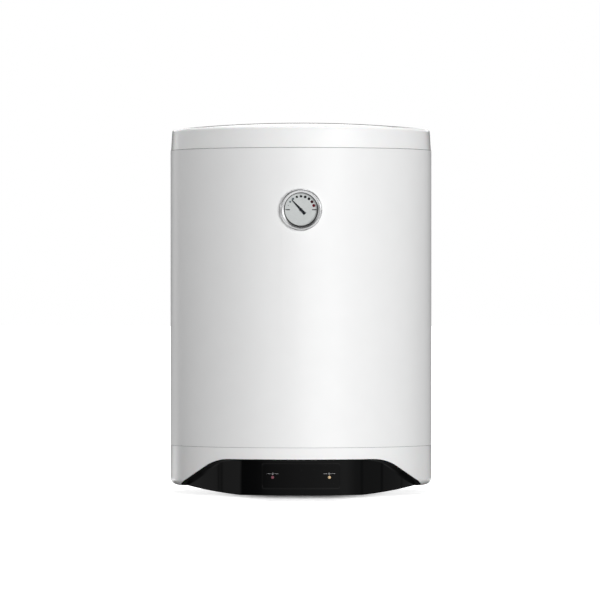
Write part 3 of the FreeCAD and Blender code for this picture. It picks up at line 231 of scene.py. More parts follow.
def make_spangle_group():
    """Zinc crystals: the tone of each Voronoi cell, and a height that dips at the borders."""
    tree, start, end = group_tree("Zinc Spangle", Scale=120.0)
    warp = put(tree, "ShaderNodeTexNoise", {"Scale": 60.0, "Detail": 2.0})
    shift = put(tree, "ShaderNodeVectorMath", {1: (0.006, 0.006, 0.006)}, operation="MULTIPLY")
    moved = put(tree, "ShaderNodeVectorMath", operation="ADD")
    cells = put(tree, "ShaderNodeTexVoronoi")
    rims = put(tree, "ShaderNodeTexVoronoi", feature="DISTANCE_TO_EDGE")
    tone = put(tree, "ShaderNodeSeparateColor")
    wire(tree, (start, "Vector", warp, "Vector"), (warp, "Color", shift, 0),
         (start, "Vector", moved, 0), (shift, 0, moved, 1))
    for node in (cells, rims):
        wire(tree, (moved, 0, node, "Vector"), (start, "Scale", node, "Scale"))
    wire(tree, (cells, "Color", tone, 0), (rims, "Distance", end, "Height"),
         (tone, 0, end, "Tone"))
    return tree


def make_cast_group():
    """Moulded, cast or foamed skin: small bubbles of a smooth Voronoi, with a noise over them."""
    tree, start, end = group_tree("Moulded Skin", Scale=900.0, Noise=0.4)
    bubbles = put(tree, "ShaderNodeTexVoronoi", feature="SMOOTH_F1")
    noise = put(tree, "ShaderNodeTexNoise", {"Detail": 4.0, "Roughness": 0.6})
    wide = put(tree, "ShaderNodeMath", {1: 0.3}, operation="MULTIPLY")
    blend = put(tree, "ShaderNodeMix", data_type="FLOAT")
    wire(tree, (start, "Vector", bubbles, "Vector"), (start, "Vector", noise, "Vector"),
         (start, "Scale", bubbles, "Scale"), (start, "Scale", wide, 0),
         (wide, 0, noise, "Scale"), (start, "Noise", blend, 0),
         (bubbles, "Distance", blend, 2), (noise, "Fac", blend, 3),
         (blend, 0, end, "Height"), (noise, "Fac", end, "Tone"))
    return tree


# --- Finishes ---
METAL = {"Metallic": 1.0}
DULL = {"Specular IOR Level": 0.1}
COLLAR = {"Subsurface Weight": 0.03, "Subsurface Scale": 0.001}
# Name, two colours, two roughnesses, effect, the effect's height in microns and its scale, and
# further values of the effect or the shader.  A colour is linear red, green and blue, or one of
# the user's colours with a factor.
FINISHES = (
    ("jacket_white", ("paint", 1.0), ("paint", 0.985), 0.30, 0.34, "peel", 14, 260,
     {"Fine": 0.2, "Coat Weight": 0.35, "Coat Roughness": 0.18}),
    ("cover_white", ("cover", 1.0), ("cover", 0.985), 0.33, 0.38, "peel", 8, 420,
     {"Fine": 0.4, "Subsurface Weight": 0.05, "Subsurface Scale": 0.002, "Coat Weight": 1.0,
      "Coat Roughness": 0.02}),
    ("fascia_black", ("fascia", 1.0), ("fascia", 1.5), 0.02, 0.03, "peel", 0.4, 60,
     {"Fine": 0.1}),
    ("window_black", ("fascia", 0.8), ("fascia", 1.1), 0.035, 0.045, "peel", 0.6, 50,
     {"Fine": 0.1}),
    ("lamp_red", (0.10, 0.022, 0.032), (0.08, 0.016, 0.024), 0.25, 0.35, "cast", 20, 1500,
     {"Emission Color": (1.0, 0.40, 0.52, 1.0), "Emission Strength": 0.115}),
    ("lamp_amber", (0.40, 0.26, 0.12), (0.34, 0.21, 0.09), 0.25, 0.35, "cast", 20, 1500,
     {"Emission Color": (1.0, 0.80, 0.54, 1.0), "Emission Strength": 0.31}),
    ("board_green", (0.02, 0.13, 0.05), (0.03, 0.17, 0.07), 0.35, 0.5, "cast", 20, 800, {}),
    ("screw_steel", (0.55, 0.55, 0.54), (0.42, 0.42, 0.41), 0.28, 0.42, "cast", 25, 1200, METAL),
    ("knob_grey", (0.16, 0.165, 0.17), (0.14, 0.145, 0.15), 0.42, 0.52, "cast", 35, 1600, {}),
    ("brass", (0.62, 0.43, 0.16), (0.50, 0.33, 0.11), 0.25, 0.40, "drawn", 20, 500, METAL),
    ("stat_cream", (0.62, 0.55, 0.40), (0.56, 0.49, 0.35), 0.45, 0.55, "cast", 30, 1100, {}),
    ("steel", (0.58, 0.58, 0.57), (0.44, 0.44, 0.43), 0.30, 0.45, "drawn", 25, 350,
     {"Stretch": (1.0, 1.0, 0.25), **METAL}),
    ("reset_red", (0.50, 0.02, 0.02), (0.42, 0.016, 0.016), 0.35, 0.45, "cast", 20, 1500, {}),
    ("collar_blue", (0.012, 0.075, 0.36), (0.010, 0.062, 0.30), 0.38, 0.48, "cast", 25, 1300,
     COLLAR),
    ("collar_red", (0.46, 0.018, 0.018), (0.38, 0.014, 0.014), 0.38, 0.48, "cast", 25, 1300,
     COLLAR),
    ("pipe_plastic", (0.70, 0.69, 0.64), (0.64, 0.63, 0.57), 0.35, 0.5, "cast", 20, 900, {}),
    ("moulding_black", (0.018, 0.018, 0.019), (0.026, 0.026, 0.027), 0.48, 0.6, "cast", 45, 1300,
     {}),
    ("wire_brown", (0.10, 0.035, 0.012), (0.13, 0.045, 0.016), 0.35, 0.5, "cast", 15, 1500, {}),
    ("wire_blue", (0.02, 0.09, 0.42), (0.025, 0.11, 0.48), 0.35, 0.5, "cast", 15, 1500, {}),
    ("wire_green", (0.07, 0.30, 0.03), (0.09, 0.34, 0.04), 0.35, 0.5, "cast", 15, 1500, {}),
    ("foam", (0.80, 0.68, 0.36), (0.68, 0.54, 0.24), 0.85, 0.95, "cast", 400, 450,
     {"Noise": 0.3}),
    ("enamel_blue", (0.02, 0.05, 0.12), (0.03, 0.07, 0.16), 0.22, 0.35, "peel", 30, 180, {}),
    ("gasket_rubber", (0.012, 0.012, 0.012), (0.02, 0.02, 0.02), 0.6, 0.75, "cast", 30, 1000,
     {}),
    ("sheath", (0.46, 0.42, 0.37), (0.32, 0.28, 0.24), 0.30, 0.45, "drawn", 15, 300, METAL),
    ("bead_white", (0.80, 0.78, 0.74), (0.74, 0.72, 0.67), 0.4, 0.55, "cast", 20, 1400, {}),
    ("magnesium", (0.50, 0.51, 0.52), (0.36, 0.37, 0.38), 0.45, 0.6, "cast", 60, 500, METAL),
    ("bracket_zinc", (0.56, 0.57, 0.58), (0.42, 0.43, 0.45), 0.30, 0.48, "spangle", 30, 110,
     METAL),
    ("bezel_chrome", (0.88, 0.885, 0.89), (0.84, 0.845, 0.85), 0.24, 0.28, "peel", 1.0, 120,
     METAL),
    ("lens", (0.98, 1.0, 0.99), (0.97, 0.99, 0.985), 0.0, 0.01, "peel", 0.4, 60,
     {"Transmission Weight": 1.0, "IOR": 1.15}),
    ("case_metal", (0.50, 0.50, 0.50), (0.40, 0.40, 0.40), 0.35, 0.5, "drawn", 20, 300,
     {"Stretch": (1.0, 0.1, 1.0), **METAL}),
    ("dial_silver", ("dial", 1.0), ("dial", 0.94), 0.42, 0.52, "cast", 12, 1400,
     {"Noise": 0.7, "Metallic": 0.15}),
    ("needle_black", (0.006, 0.007, 0.010), (0.012, 0.013, 0.018), 0.45, 0.55, "cast", 15, 1800,
     {"Specular IOR Level": 0.25}),
    ("copper", (0.60, 0.26, 0.14), (0.48, 0.19, 0.10), 0.25, 0.42, "drawn", 15, 400, METAL),
    ("mark_grey", (0.16, 0.17, 0.18), (0.14, 0.15, 0.16), 0.5, 0.6, "cast", 5, 900, {}),
    ("mark_slate", (0.045, 0.068, 0.085), (0.04, 0.06, 0.075), 0.5, 0.6, "cast", 5, 900, DULL),
    ("mark_black", (0.006, 0.006, 0.007), (0.01, 0.01, 0.011), 0.5, 0.6, "cast", 5, 900, DULL),
    ("mark_maroon", (0.040, 0.005, 0.009), (0.034, 0.004, 0.008), 0.5, 0.6, "cast", 5, 900,
     DULL),
    ("mark_red", (0.115, 0.004, 0.011), (0.095, 0.003, 0.009), 0.5, 0.6, "cast", 5, 900, DULL),
    ("symbol_grey", (0.42, 0.42, 0.425), (0.38, 0.38, 0.385), 0.45, 0.55, "cast", 5, 900, {}),
    ("print_white", (0.72, 0.72, 0.71), (0.66, 0.66, 0.65), 0.45, 0.55, "cast", 5, 900, {}),
)
TONE_LOW, TONE_HIGH = 0.3, 0.7  # the noises' useful range
MATERIALS = {}


def tint(value, colours):
    """A colour as it is, or a user's colour made darker or lighter."""
    if isinstance(value[0], str):
        name, factor = value
        return tuple(min(1.0, c * factor) for c in getattr(colours, name))
    return value


def finish(name, base, second, rough, rough_to, group, bump, values):
    """Principled material of a finish.  Its colour runs from base to second and its roughness
    from rough to rough_to with the effect's tone, and the effect's height, bump metres high,
    bends the normal.  The values are constants of the effect or of the shader."""
    material = bpy.data.materials.new(name)
    material.use_nodes = True
    tree = material.node_tree
    shader = tree.nodes["Principled BSDF"]
    place = put(tree, "ShaderNodeTexCoord")
    effect = put(tree, "ShaderNodeGroup", node_tree=group)
    spread = put(tree, "ShaderNodeMapRange", {1: TONE_LOW, 2: TONE_HIGH})
    mix = put(tree, "ShaderNodeMix", {6: (*base, 1.0), 7: (*second, 1.0)}, data_type="RGBA")
    gloss = put(tree, "ShaderNodeMapRange", {3: rough, 4: rough_to})
    relief = put(tree, "ShaderNodeBump", {"Strength": 1.0, "Distance": bump})
    wire(tree, (place, "Object", effect, "Vector"), (effect, "Tone", spread, 0),
         (spread, 0, mix, 0), (mix, 2, shader, "Base Color"), (spread, 0, gloss, 0),
         (gloss, 0, shader, "Roughness"), (effect, "Height", relief, "Height"),
         (relief, 0, shader, "Normal"))
    for key, value in values.items():
        node = effect if key in effect.inputs else shader
        node.inputs[key].default_value = value
    material.diffuse_color = (*base, 1.0)
    MATERIALS[name] = material


class HEATER_OT_finishes(bpy.types.Operator):
    """Make every finish and put it on the CAD nodes"""
    bl_idname = "heater.finishes"
    bl_label = "Finishes"

    def execute(self, context):
        colours = context.scene.heater_colours
        groups = {"peel": make_peel_group(), "drawn": make_drawn_group(),
                  "spangle": make_spangle_group(), "cast": make_cast_group()}
        for name, base, second, rough, rough_to, effect, microns, scale, more in FINISHES:
            finish(name, tint(base, colours), tint(second, colours), rough, rough_to,
                   groups[effect], microns * MICRON, {"Scale": scale, **more})
        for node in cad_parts.values():
            for slot in node.material_slots:
                slot.material = MATERIALS[slot.material.name.split(".")[0]]
        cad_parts["gauge_lens"].visible_shadow = False
        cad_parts["gauge_lens"].visible_diffuse = False
        return {"FINISHED"}


# --- Mesh tools ---
def new_piece(name, points, faces, slot, body="heater", materials=None, smooth=35.0,
              indices=None):
    """Mesh object from arrays of points and faces, riding on a body.  Its materials are those
    named, or else the slot's own.  Edges of up to smooth degrees look round."""
    mesh = bpy.data.meshes.new(name)
    mesh.from_pydata(np.asarray(points).tolist(), [], [list(map(int, f)) for f in faces])
    for material in materials or (slot,):
        mesh.materials.append(MATERIALS[material])
    if indices is not None:
        mesh.polygons.foreach_set("material_index", np.asarray(indices, dtype=np.int32))
    mesh.polygons.foreach_set("use_smooth", np.ones(len(mesh.polygons), dtype=bool))
    mesh.set_sharp_from_angle(angle=math.radians(smooth))
    mesh.update()
    piece = bpy.data.objects.new(name, mesh)
    bpy.context.scene.collection.objects.link(piece)
    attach(piece, body)
    return piece


def grid_faces(rows, columns, wrap_rows=False):
    """Quads of a grid that closes after its last column.  Its points are numbered
    row * columns + column."""
    r, c = np.meshgrid(np.arange(rows if wrap_rows else rows - 1), np.arange(columns),
                       indexing="ij")
    r2, c2 = (r + 1) % rows, (c + 1) % columns
    corners = (r * columns + c, r * columns + c2, r2 * columns + c2, r2 * columns + c)
    return np.stack(corners, axis=-1).reshape(-1, 4)


def full_turn(steps):
    """Angles of a full turn in equal steps."""
    return 2 * math.pi * np.arange(steps) / steps


def arc(cx, cy, r, start, end, count):
    """Points on a circular arc, angles in degrees."""
    turn = np.radians(np.linspace(start, end, count))
    return list(zip(cx + r * np.cos(turn), cy + r * np.sin(turn)))


def plate(far, near):
    """Thin closed plate between two loops of as many points.  Seen from outside, the near loop
    runs counterclockwise."""
    n = len(far)
    ring = np.arange(n)
    following = (ring + 1) % n
    rim = np.column_stack([ring, following, following + n, ring + n])
    return np.concatenate([far, near]), [*rim.tolist(), (ring + n).tolist(), ring[::-1].tolist()]


def joined(parts):
    """One array of points and one list of faces out of several."""
    points, faces, count = [], [], 0
    for some_points, some_faces in parts:
        points.append(some_points)
        faces += [[count + i for i in face] for face in some_faces]
        count += len(some_points)
    return np.concatenate(points), faces


# --- Seams ---
# Name, level, top of the bead and of the dark seal above it, and how far that seal leaves the
# bore. The dark seal is painted shade: it stands for the shadow line in the joint.
SEAMS = (("top_seam", float(JACKET[1, 2]), 0.30 * MM, 0.80 * MM, 0.5 * MM),
         ("low_seam", float(COVER[1, 2]) - COVER_LIP, 0.10 * MM, 0.5 * MM, 0.0))
SEAM_STEPS = 512
EDGE_DROP = 0.3 * MM  # foot of the rolled edge below the seam's level
EDGE_FOOT = 0.5 * MM  # its foot inside the jacket's outside
EDGE_NOSE = 0.02 * MM  # its foremost point inside the jacket's outside
EDGE_TOP = 0.45 * MM  # its top inside the jacket's outside
# The seal is a dark ring of painted shade in the joint's gap, where the real joint only has
# shadow.
SHADE_SEAL_DROP = 1.0 * MM  # foot of the seal below the seam's level
SHADE_SEAL_REAR = 0.2 * MM  # its rear inside the bore
SHADE_SEAL_PLAY = 0.02 * MM  # its front inside the bore, below the seam


def lathe(profile, steps):
    """Closed ring of a profile carried round the tank's axis: a profile point (r, z) lies at
    (r sin a, axis - r cos a, z) for each angle a.  Returns points and faces."""
    turn = full_turn(steps)
    r, z = (np.array(column)[:, None] for column in zip(*profile))
    points = np.stack([r * np.sin(turn), AXIS_Y - r * np.cos(turn), z + 0 * turn], axis=-1)
    return points.reshape(-1, 3), grid_faces(len(profile), steps, wrap_rows=True)


class HEATER_OT_seams(bpy.types.Operator):
    """Painted shade: dark seals in the joints between the jacket and its covers, over pale rolled
    edges
    """
    bl_idname = "heater.seams"
    bl_label = "Seams"

    def execute(self, context):
        bore = JACKET_R - SHEET
        for name, z, bead, height, proud in SEAMS:
            edge = [(bore, z - EDGE_DROP), (JACKET_R - EDGE_FOOT, z - EDGE_DROP),
                    (JACKET_R - EDGE_NOSE, z), (JACKET_R - EDGE_TOP, z + bead), (bore, z + bead)]
            new_piece(name + "_edge", *lathe(edge, SEAM_STEPS), "jacket_white")
            # Dark ring of painted shade that fills the joint's gap.
            shade_seal = [(bore - SHADE_SEAL_REAR, z - SHADE_SEAL_DROP), (bore - SHADE_SEAL_PLAY, z - SHADE_SEAL_DROP),
                    (bore - SHADE_SEAL_PLAY, z), (bore + proud, z + bead), (bore + proud, z + height),
                    (bore - SHADE_SEAL_REAR, z + height)]
            new_piece(name + "_seal", *lathe(shade_seal, SEAM_STEPS), "gasket_rubber")
        return {"FINISHED"}


# --- Thermometer ---
GAUGE_STEPS = 160
BEZEL_STAND = 0.3 * MM  # bezel's rear in front of the jacket
BEZEL_TAPER = 0.1 * MM  # its rear edge inside its outside
BEZEL_SIDE = 4.9 * MM  # foot of its side behind its face
BEZEL_FLAT = 0.4 * MM  # flat ring between its rolled edge and its crest
ROLL_STEPS = 14
# Bevels of the crest and of the lens's opening: width, depth or rise, and the edge's own depth.
CREST_WIDTH, CREST_DEPTH, CREST_EDGE = 0.35 * MM, 0.10 * MM, 0.02 * MM
LIP_WIDTH, LIP_RISE, LIP_EDGE = 0.35 * MM, 0.25 * MM, 0.1 * MM
# Section of the lens gasket: half widths outwards, and thicknesses forward of the lens. Its dark
# ring stands partly for the shade in the gap between bezel and lens.
SEAL_SHAPE = ((1, 0), (1, 0.6), (0.7, 0.95), (0.3, 1), (-0.3, 1), (-0.7, 0.95), (-1, 0.6), (-1, 0))
SEAL_THICK = 0.35 * MM
# The sag widens the gasket's dark ring at the bottom: painted shade.
GASKET_SHADE_SAG = 0.20  # how far the gasket's middle line sags, in widths
DOTS = ("grey", "slate", "slate", "black", "black", "black", "black", "maroon", "red")
FIRST_DOT, DOT_STEP = 162, -18  # degrees round the dial
DOT_GROWTH = 0.45  # power by which the dots grow
DOT_SIDES = 40
DASH_THICK = 0.85 * MM  # half the dashes' thickness
DASH_INSET = 0.2 * MM  # how far inside the circle of dots the dashes lie


def revolve(profile, shade_sag=0.0):
    """Closed ring of a profile carried round the gauge's axis: a profile point (r, depth) lies
    at r from the axis and depth behind the bezel's face at each angle a, or on the jacket where
    its depth is None: y = -sqrt(R^2 - x^2).  Its radius changes by the sag times sin(a); for the
    lens gasket this widens its dark ring at the bottom as painted shade.  Returns points and
    faces."""
    turn = full_turn(GAUGE_STEPS)
    r, depth = (np.array(column, dtype=float)[:, None] for column in zip(*profile))
    r = r + np.array(shade_sag)[..., None] * np.sin(turn)
    x = r * np.cos(turn)
    z = GAUGE_Z + r * np.sin(turn)
    on_jacket = AXIS_Y - np.sqrt((JACKET_R + BEZEL_STAND) ** 2 - x ** 2)
    y = np.where(np.isnan(depth), on_jacket, BEZEL[0, 1] + depth + 0 * turn)
    points = np.stack([x, y, z], axis=-1).reshape(-1, 3)
    return points, grid_faces(len(profile), GAUGE_STEPS, wrap_rows=True)


class HEATER_OT_bezel(bpy.types.Operator):
    """Chrome bezel: a rolled outer edge, a crest, and a slope down to the lens"""
    bl_idname = "heater.bezel"
    bl_label = "Bezel and lens gasket"

    def execute(self, context):
        sizes = context.scene.heater_sizes
        outer = float(BEZEL[1, 0])
        lip = outer - BEZEL_WIDTH
        lens_depth = float(LENS[0, 1] - BEZEL[0, 1])
        crest = sizes.crest_radius
        roll = outer - crest - BEZEL_FLAT
        profile = [(outer - BEZEL_TAPER, None), (outer, BEZEL_SIDE),
                   *arc(outer - roll, roll, roll, 0, -90, ROLL_STEPS),
                   (crest, CREST_EDGE), (crest - CREST_WIDTH, CREST_DEPTH),
                   (lip + LIP_WIDTH, lens_depth - LIP_RISE), (lip, lens_depth - LIP_EDGE),
                   (lip, lens_depth), (crest, lens_depth), (crest, None)]
        bezel = new_piece("bezel_ring", *revolve(profile), "bezel_chrome", smooth=40.0)
        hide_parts("gauge_bezel")
        # The lens gasket is a dark ring that stands partly for the shade in the gap between bezel
        # and lens; its sag widens it at the bottom as painted shade.
        width = sizes.gasket_and_shade_width
        shade_seal = [(lip - width / 2 + width / 2 * a, lens_depth - SEAL_THICK * b)
                for a, b in SEAL_SHAPE]
        shade_sag = [GASKET_SHADE_SAG * width * (1 - a) for a, b in SEAL_SHAPE]
        new_piece("lens_gasket", *revolve(shade_seal, shade_sag), "gasket_rubber")
        return {"FINISHED"}


def dial_plate(outline, height):
    """Plate on the dial, height thick, from its outline of (x, z) points."""
    rear = np.insert(outline, 1, DIAL[0, 1], axis=1)
    return plate(rear, rear - (0.0, height, 0.0))


class HEATER_OT_dial_marks(bpy.types.Operator):
    """Nine dots that grow and redden from left to right, between two dashes"""
    bl_idname = "heater.dial_marks"
    bl_label = "Dial marks"

    def execute(self, context):
        sizes = context.scene.heater_sizes
        ring = full_turn(DOT_SIDES)
        outlines = []
        for i in range(len(DOTS)):
            turn = math.radians(FIRST_DOT + DOT_STEP * i)
            grown = (i / (len(DOTS) - 1)) ** DOT_GROWTH
            r = 0.5 * (sizes.first_mark + (sizes.last_mark - sizes.first_mark) * grown)
            x = sizes.mark_radius * math.cos(turn)
            z = GAUGE_Z + sizes.mark_radius * math.sin(turn)
            outlines.append(np.column_stack([x + r * np.cos(ring), z + r * np.sin(ring)]))
        half = np.array([sizes.dash / 2, DASH_THICK])
        for side in (-1, 1):
            place = np.array([side * (sizes.mark_radius - DASH_INSET), GAUGE_Z])
            outlines.append(place + half * [(-1, -1), (1, -1), (1, 1), (-1, 1)])
        parts = [dial_plate(outline, sizes.print_height) for outline in outlines]
        names = ["mark_" + name for name in (*DOTS, "black", "black")]
        palette = list(dict.fromkeys(names))
        indices = np.repeat([palette.index(name) for name in names],
                            [len(faces) for points, faces in parts])
        new_piece("dial_marks", *joined(parts), "dial_silver", materials=palette,
                  indices=indices)
        return {"FINISHED"}


# --- Fascia ---
SIGN_HEIGHT = 2.5 * MM
SIGN_LINE = 0.42 * MM  # width of the signs' lines
SIGN_PROUD = 0.03 * MM  # how far they stand up
CIRCLE_STEPS, WAVE_STEPS = 40, 24
SIGN_RISE = 3.8 * MM  # middle of the signs above the lamps
POWER_ARC = (125, 415)  # degrees that the power sign's open circle covers
POWER_STEM = (0.62, 0.45, 0.3, 0.1)  # its stroke, in heights above the middle
WAVE_APART, WAVE_SWING = 1.1 * MM, 0.28 * MM
SIDE_DASH = (3.2 * MM, 5.4 * MM, 7.6 * MM, 9.6 * MM)  # dash beside a sign, from its middle
LONG_SIDE, SHORT_SIDE, CORNER_STEPS = 40, 8, 9  # places along the window's outline
BEAD_STEPS = 7  # places across the bead
BEAD_HEIGHT = 0.6  # its height as a part of half its width
BEAD_SUNK = 0.1 * MM  # how deep its foot is set into the fascia


def on_fascia(points, proud):
    """Plane points (x, z) laid on the fascia's cylinder, raised by proud:
    y = -sqrt((R + proud)^2 - x^2)."""
    x, z = np.asarray(points, dtype=float).T
    return np.column_stack([x, AXIS_Y - np.sqrt((FASCIA_R + proud) ** 2 - x ** 2), z])


def normals(line, closed=False):
    """Unit normals of a line of (x, z) points, to the left of its run."""
    if closed:
        ahead, behind = np.roll(line, -1, axis=0), np.roll(line, 1, axis=0)
    else:
        ahead = np.vstack([line[1:], 2 * line[-1:] - line[-2:-1]])
        behind = np.vstack([2 * line[:1] - line[1:2], line[:-1]])
    run = ahead - behind
    run /= np.linalg.norm(run, axis=1)[:, None]
    return np.column_stack([-run[:, 1], run[:, 0]])


def raised_line(line):
    """Closed raised strip along a line on the fascia: four points for each place on the line,
    rear and front on either side.  Returns points and faces."""
    line = np.asarray(line, dtype=float)
    side = normals(line) * SIGN_LINE / 2
    rows = np.stack([on_fascia(line + side, -SIGN_PROUD), on_fascia(line - side, -SIGN_PROUD),
                     on_fascia(line - side, SIGN_PROUD), on_fascia(line + side, SIGN_PROUD)],
                    axis=1)
    last = 4 * len(rows)
    ends = [[3, 2, 1, 0], [last - 4, last - 3, last - 2, last - 1]]
    return rows.reshape(-1, 3), grid_faces(len(rows), 4).tolist() + ends


class HEATER_OT_symbols(bpy.types.Operator):
    """Plain signs over the lamps: power over the left one, rising warmth over the right one"""
    bl_idname = "heater.symbols"
    bl_label = "Lamp signs"

    def execute(self, context):
        z = float(POWER_LAMP[1, 2]) + SIGN_RISE
        power_x, heating_x = (float(lamp[:, 0].mean()) for lamp in (POWER_LAMP, HEATING_LAMP))
        lines = [arc(power_x, z, SIGN_HEIGHT / 2, *POWER_ARC, CIRCLE_STEPS),
                 [(power_x, z + t * SIGN_HEIGHT) for t in POWER_STEM]]
        rise = np.linspace(-0.5, 0.5, WAVE_STEPS)
        for i in (-1, 0, 1):
            swing = WAVE_SWING * np.sin(2 * math.pi * rise)
            lines.append(np.column_stack([heating_x + i * WAVE_APART + swing,
                                          z + SIGN_HEIGHT * rise]))
        for x in (power_x, heating_x):
            for side in (-1, 1):
                lines.append([(x + side * t, z) for t in SIDE_DASH][::side])
        new_piece("lamp_signs", *joined(map(raised_line, lines)), "window_black",
                  materials=["symbol_grey"])
        return {"FINISHED"}


class HEATER_OT_window_edge(bpy.types.Operator):
    """Thin bead round the indicator window"""
    bl_idname = "heater.window_edge"
    bl_label = "Window edge"

    def execute(self, context):
        bead = context.scene.heater_sizes.window_bead
        half = float(WINDOW[1, 0]) - WINDOW_CORNER
        low, high = WINDOW[:, 2] + (WINDOW_CORNER, -WINDOW_CORNER)
        corners = [(half, high), (-half, high), (-half, low), (half, low)]
        arcs = [np.array(arc(x, z, WINDOW_CORNER, 90 * i, 90 * i + 90, CORNER_STEPS))
                for i, (x, z) in enumerate(corners)]
        path = []
        for i, bend in enumerate(arcs):
            begin, end = bend[-1], arcs[(i + 1) % 4][0]
            count = SHORT_SIDE if i % 2 else LONG_SIDE
            t = np.linspace(0, 1, count + 1)[1:-1, None]
            path += [bend, begin + (end - begin) * t]
        path = np.concatenate(path)
        side = normals(path, closed=True) * bead
        turn = np.radians(np.linspace(-90, 90, BEAD_STEPS))
        rows = [on_fascia(path + side * math.sin(a), bead * BEAD_HEIGHT * math.cos(a))
                for a in turn]
        rows += [on_fascia(path + side * s, -BEAD_SUNK) for s in (1, -1)]
        points = np.stack(rows, axis=1).reshape(-1, 3)
        new_piece("window_edge", points, grid_faces(len(path), len(rows), wrap_rows=True),
                  "fascia_black", smooth=60.0)
        return {"FINISHED"}


# --- Underside ---
PITCH, THREAD_DEPTH = 1.814 * MM, 1.0 * MM  # G 1/2
THREAD_COLUMNS, TURN_ROWS = 72, 8
THREAD_START = 0.6 * MM  # how far the thread's end is turned down
FLANK = 1.25  # steepness of its flanks: above 1, crests and roots are flat
MOUTH, MOUTH_DEPTH = 0.4 * MM, 0.5 * MM  # chamfer of the bore
SCALE_START, SCALE_SWEEP = math.radians(-135), math.radians(-270)
NUMBERS, TICKS_APART = 6, 4  # a tick at each number and three between two of them
TICK_RADIUS, NUMBER_RADIUS = 28.6 * MM, 35.0 * MM
TICK_LONG, TICK_SHORT, TICK_WIDTH = 3.0 * MM, 1.6 * MM, 0.5 * MM
NUMBER_SIZE = 5.0 * MM
POINTER_AT, POINTER_LONG = 0.62 * KNOB_GRIP, 0.52 * KNOB_GRIP
POINTER_WIDTH = 1.6 * MM


class HEATER_OT_threads(bpy.types.Operator):
    """Water connections with a real thread: r = R - depth * (1 - |saw|), the saw one turn of
    the helix long, faded out where the thread starts and ends"""
    bl_idname = "heater.threads"
    bl_label = "Threads"

    def execute(self, context):
        turn = full_turn(THREAD_COLUMNS)
        for name in ("cold_inlet_nipple", "hot_outlet_nipple"):
            low, high = limits(name)
            cx, cy = (low + high)[:2] / 2
            rows = np.arange(int(THREAD_LENGTH / PITCH * TURN_ROWS) + 1)
            up = (rows * PITCH / TURN_ROWS)[:, None]
            saw = np.abs(2 * (up / PITCH - turn / (2 * math.pi)) % 2 - 1)
            saw = np.clip(0.5 + FLANK * (saw - 0.5), 0, 1)
            faded = np.clip(np.minimum(up, THREAD_LENGTH - up) / PITCH, 0, 1)
            turned = THREAD_START * np.clip(1 - up / PITCH, 0, 1)
            screw = (high[0] - low[0]) / 2 - THREAD_DEPTH * (1 - saw) * faded - turned
            level = low[2] + up[:, 0]
            profile = [(WATER_BORE, low[2] + MOUTH_DEPTH), (WATER_BORE + MOUTH, low[2]),
                       *zip(screw, level), (SHANK, level[-1]), (SHANK, high[2]),
                       (WATER_BORE, high[2])]
            r, z = (np.array([value + 0 * turn for value in column])
                    for column in zip(*profile))
            points = np.stack([cx + r * np.sin(turn), cy - r * np.cos(turn), z], axis=-1)
            faces = grid_faces(len(profile), THREAD_COLUMNS, wrap_rows=True)
            piece = new_piece(name + "_thread", points.reshape(-1, 3), faces, "steel",
                              smooth=50.0)
            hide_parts(name)
        return {"FINISHED"}


def low_bar(turn, radius, long, wide, z, height):
    """Bar under the level z, its middle at an angle and a radius from the knob's axis and its
    length pointing outwards.  Returns points and faces."""
    run = np.array([math.cos(turn), math.sin(turn)])
    side = np.array([-run[1], run[0]])
    outline = [KNOB_CENTRE + run * (radius + long * a) + side * wide * b
               for a, b in ((-0.5, -0.5), (0.5, -0.5), (0.5, 0.5), (-0.5, 0.5))]
    top = np.insert(outline, 2, z, axis=1)
    return plate(top - (0.0, 0.0, height), top)


def number_mesh(text, height):
    """Points and faces of a number that lies flat, centred, height thick."""
    curve = bpy.data.curves.new("number", "FONT")
    curve.body = text
    curve.size = NUMBER_SIZE
    curve.align_x, curve.align_y = "CENTER", "CENTER"
    curve.extrude = height / 2
    source = bpy.data.objects.new("number", curve)
    bpy.context.scene.collection.objects.link(source)
    bpy.context.view_layer.update()
    mesh = bpy.data.meshes.new_from_object(source)
    bpy.data.objects.remove(source)
    points = np.empty(3 * len(mesh.vertices))
    mesh.vertices.foreach_get("co", points)
    return points.reshape(-1, 3), [list(p.vertices) for p in mesh.polygons]


class HEATER_OT_knob_scale(bpy.types.Operator):
    """Pointer on the knob and a scale of ticks and plain numbers on the service cover"""
    bl_idname = "heater.knob_scale"
    bl_label = "Knob scale"

    def execute(self, context):
        height = context.scene.heater_sizes.print_height
        pointer = low_bar(SCALE_START, POINTER_AT, POINTER_LONG, POINTER_WIDTH,
                          float(KNOB[0, 2]), height)
        new_piece("knob_pointer", *pointer, "knob_grey", body="knob", materials=["print_white"])
        z = float(SERVICE[1, 2]) - SERVICE_PLATE
        last = (NUMBERS - 1) * TICKS_APART
        ticks = []
        for i in range(last + 1):
            long = TICK_SHORT if i % TICKS_APART else TICK_LONG
            ticks.append(low_bar(SCALE_START + SCALE_SWEEP * i / last, TICK_RADIUS + long / 2,
                                 long, TICK_WIDTH, z, height))
        new_piece("knob_ticks", *joined(ticks), "cover_white", materials=["mark_slate"])
        for i in range(NUMBERS):
            turn = SCALE_START + SCALE_SWEEP * i / (NUMBERS - 1)
            x, y = KNOB_CENTRE + NUMBER_RADIUS * np.array([math.cos(turn), math.sin(turn)])
            flat, faces = number_mesh(str(NUMBERS - 1 - i), height)
            points = np.array([x, y, z - height / 2]) + flat * (1, -1, -1)
            new_piece(f"knob_number_{i}", points, faces, "cover_white",
                      materials=["mark_slate"])
        return {"FINISHED"}


# --- Back ---
FOLD_SUNK = 0.3 * MM  # how deep the folded seam's foot is set into the jacket
FOLD_INSET = 1.0 * MM  # its ends from the jacket's ends
FOLD_ROWS = 24


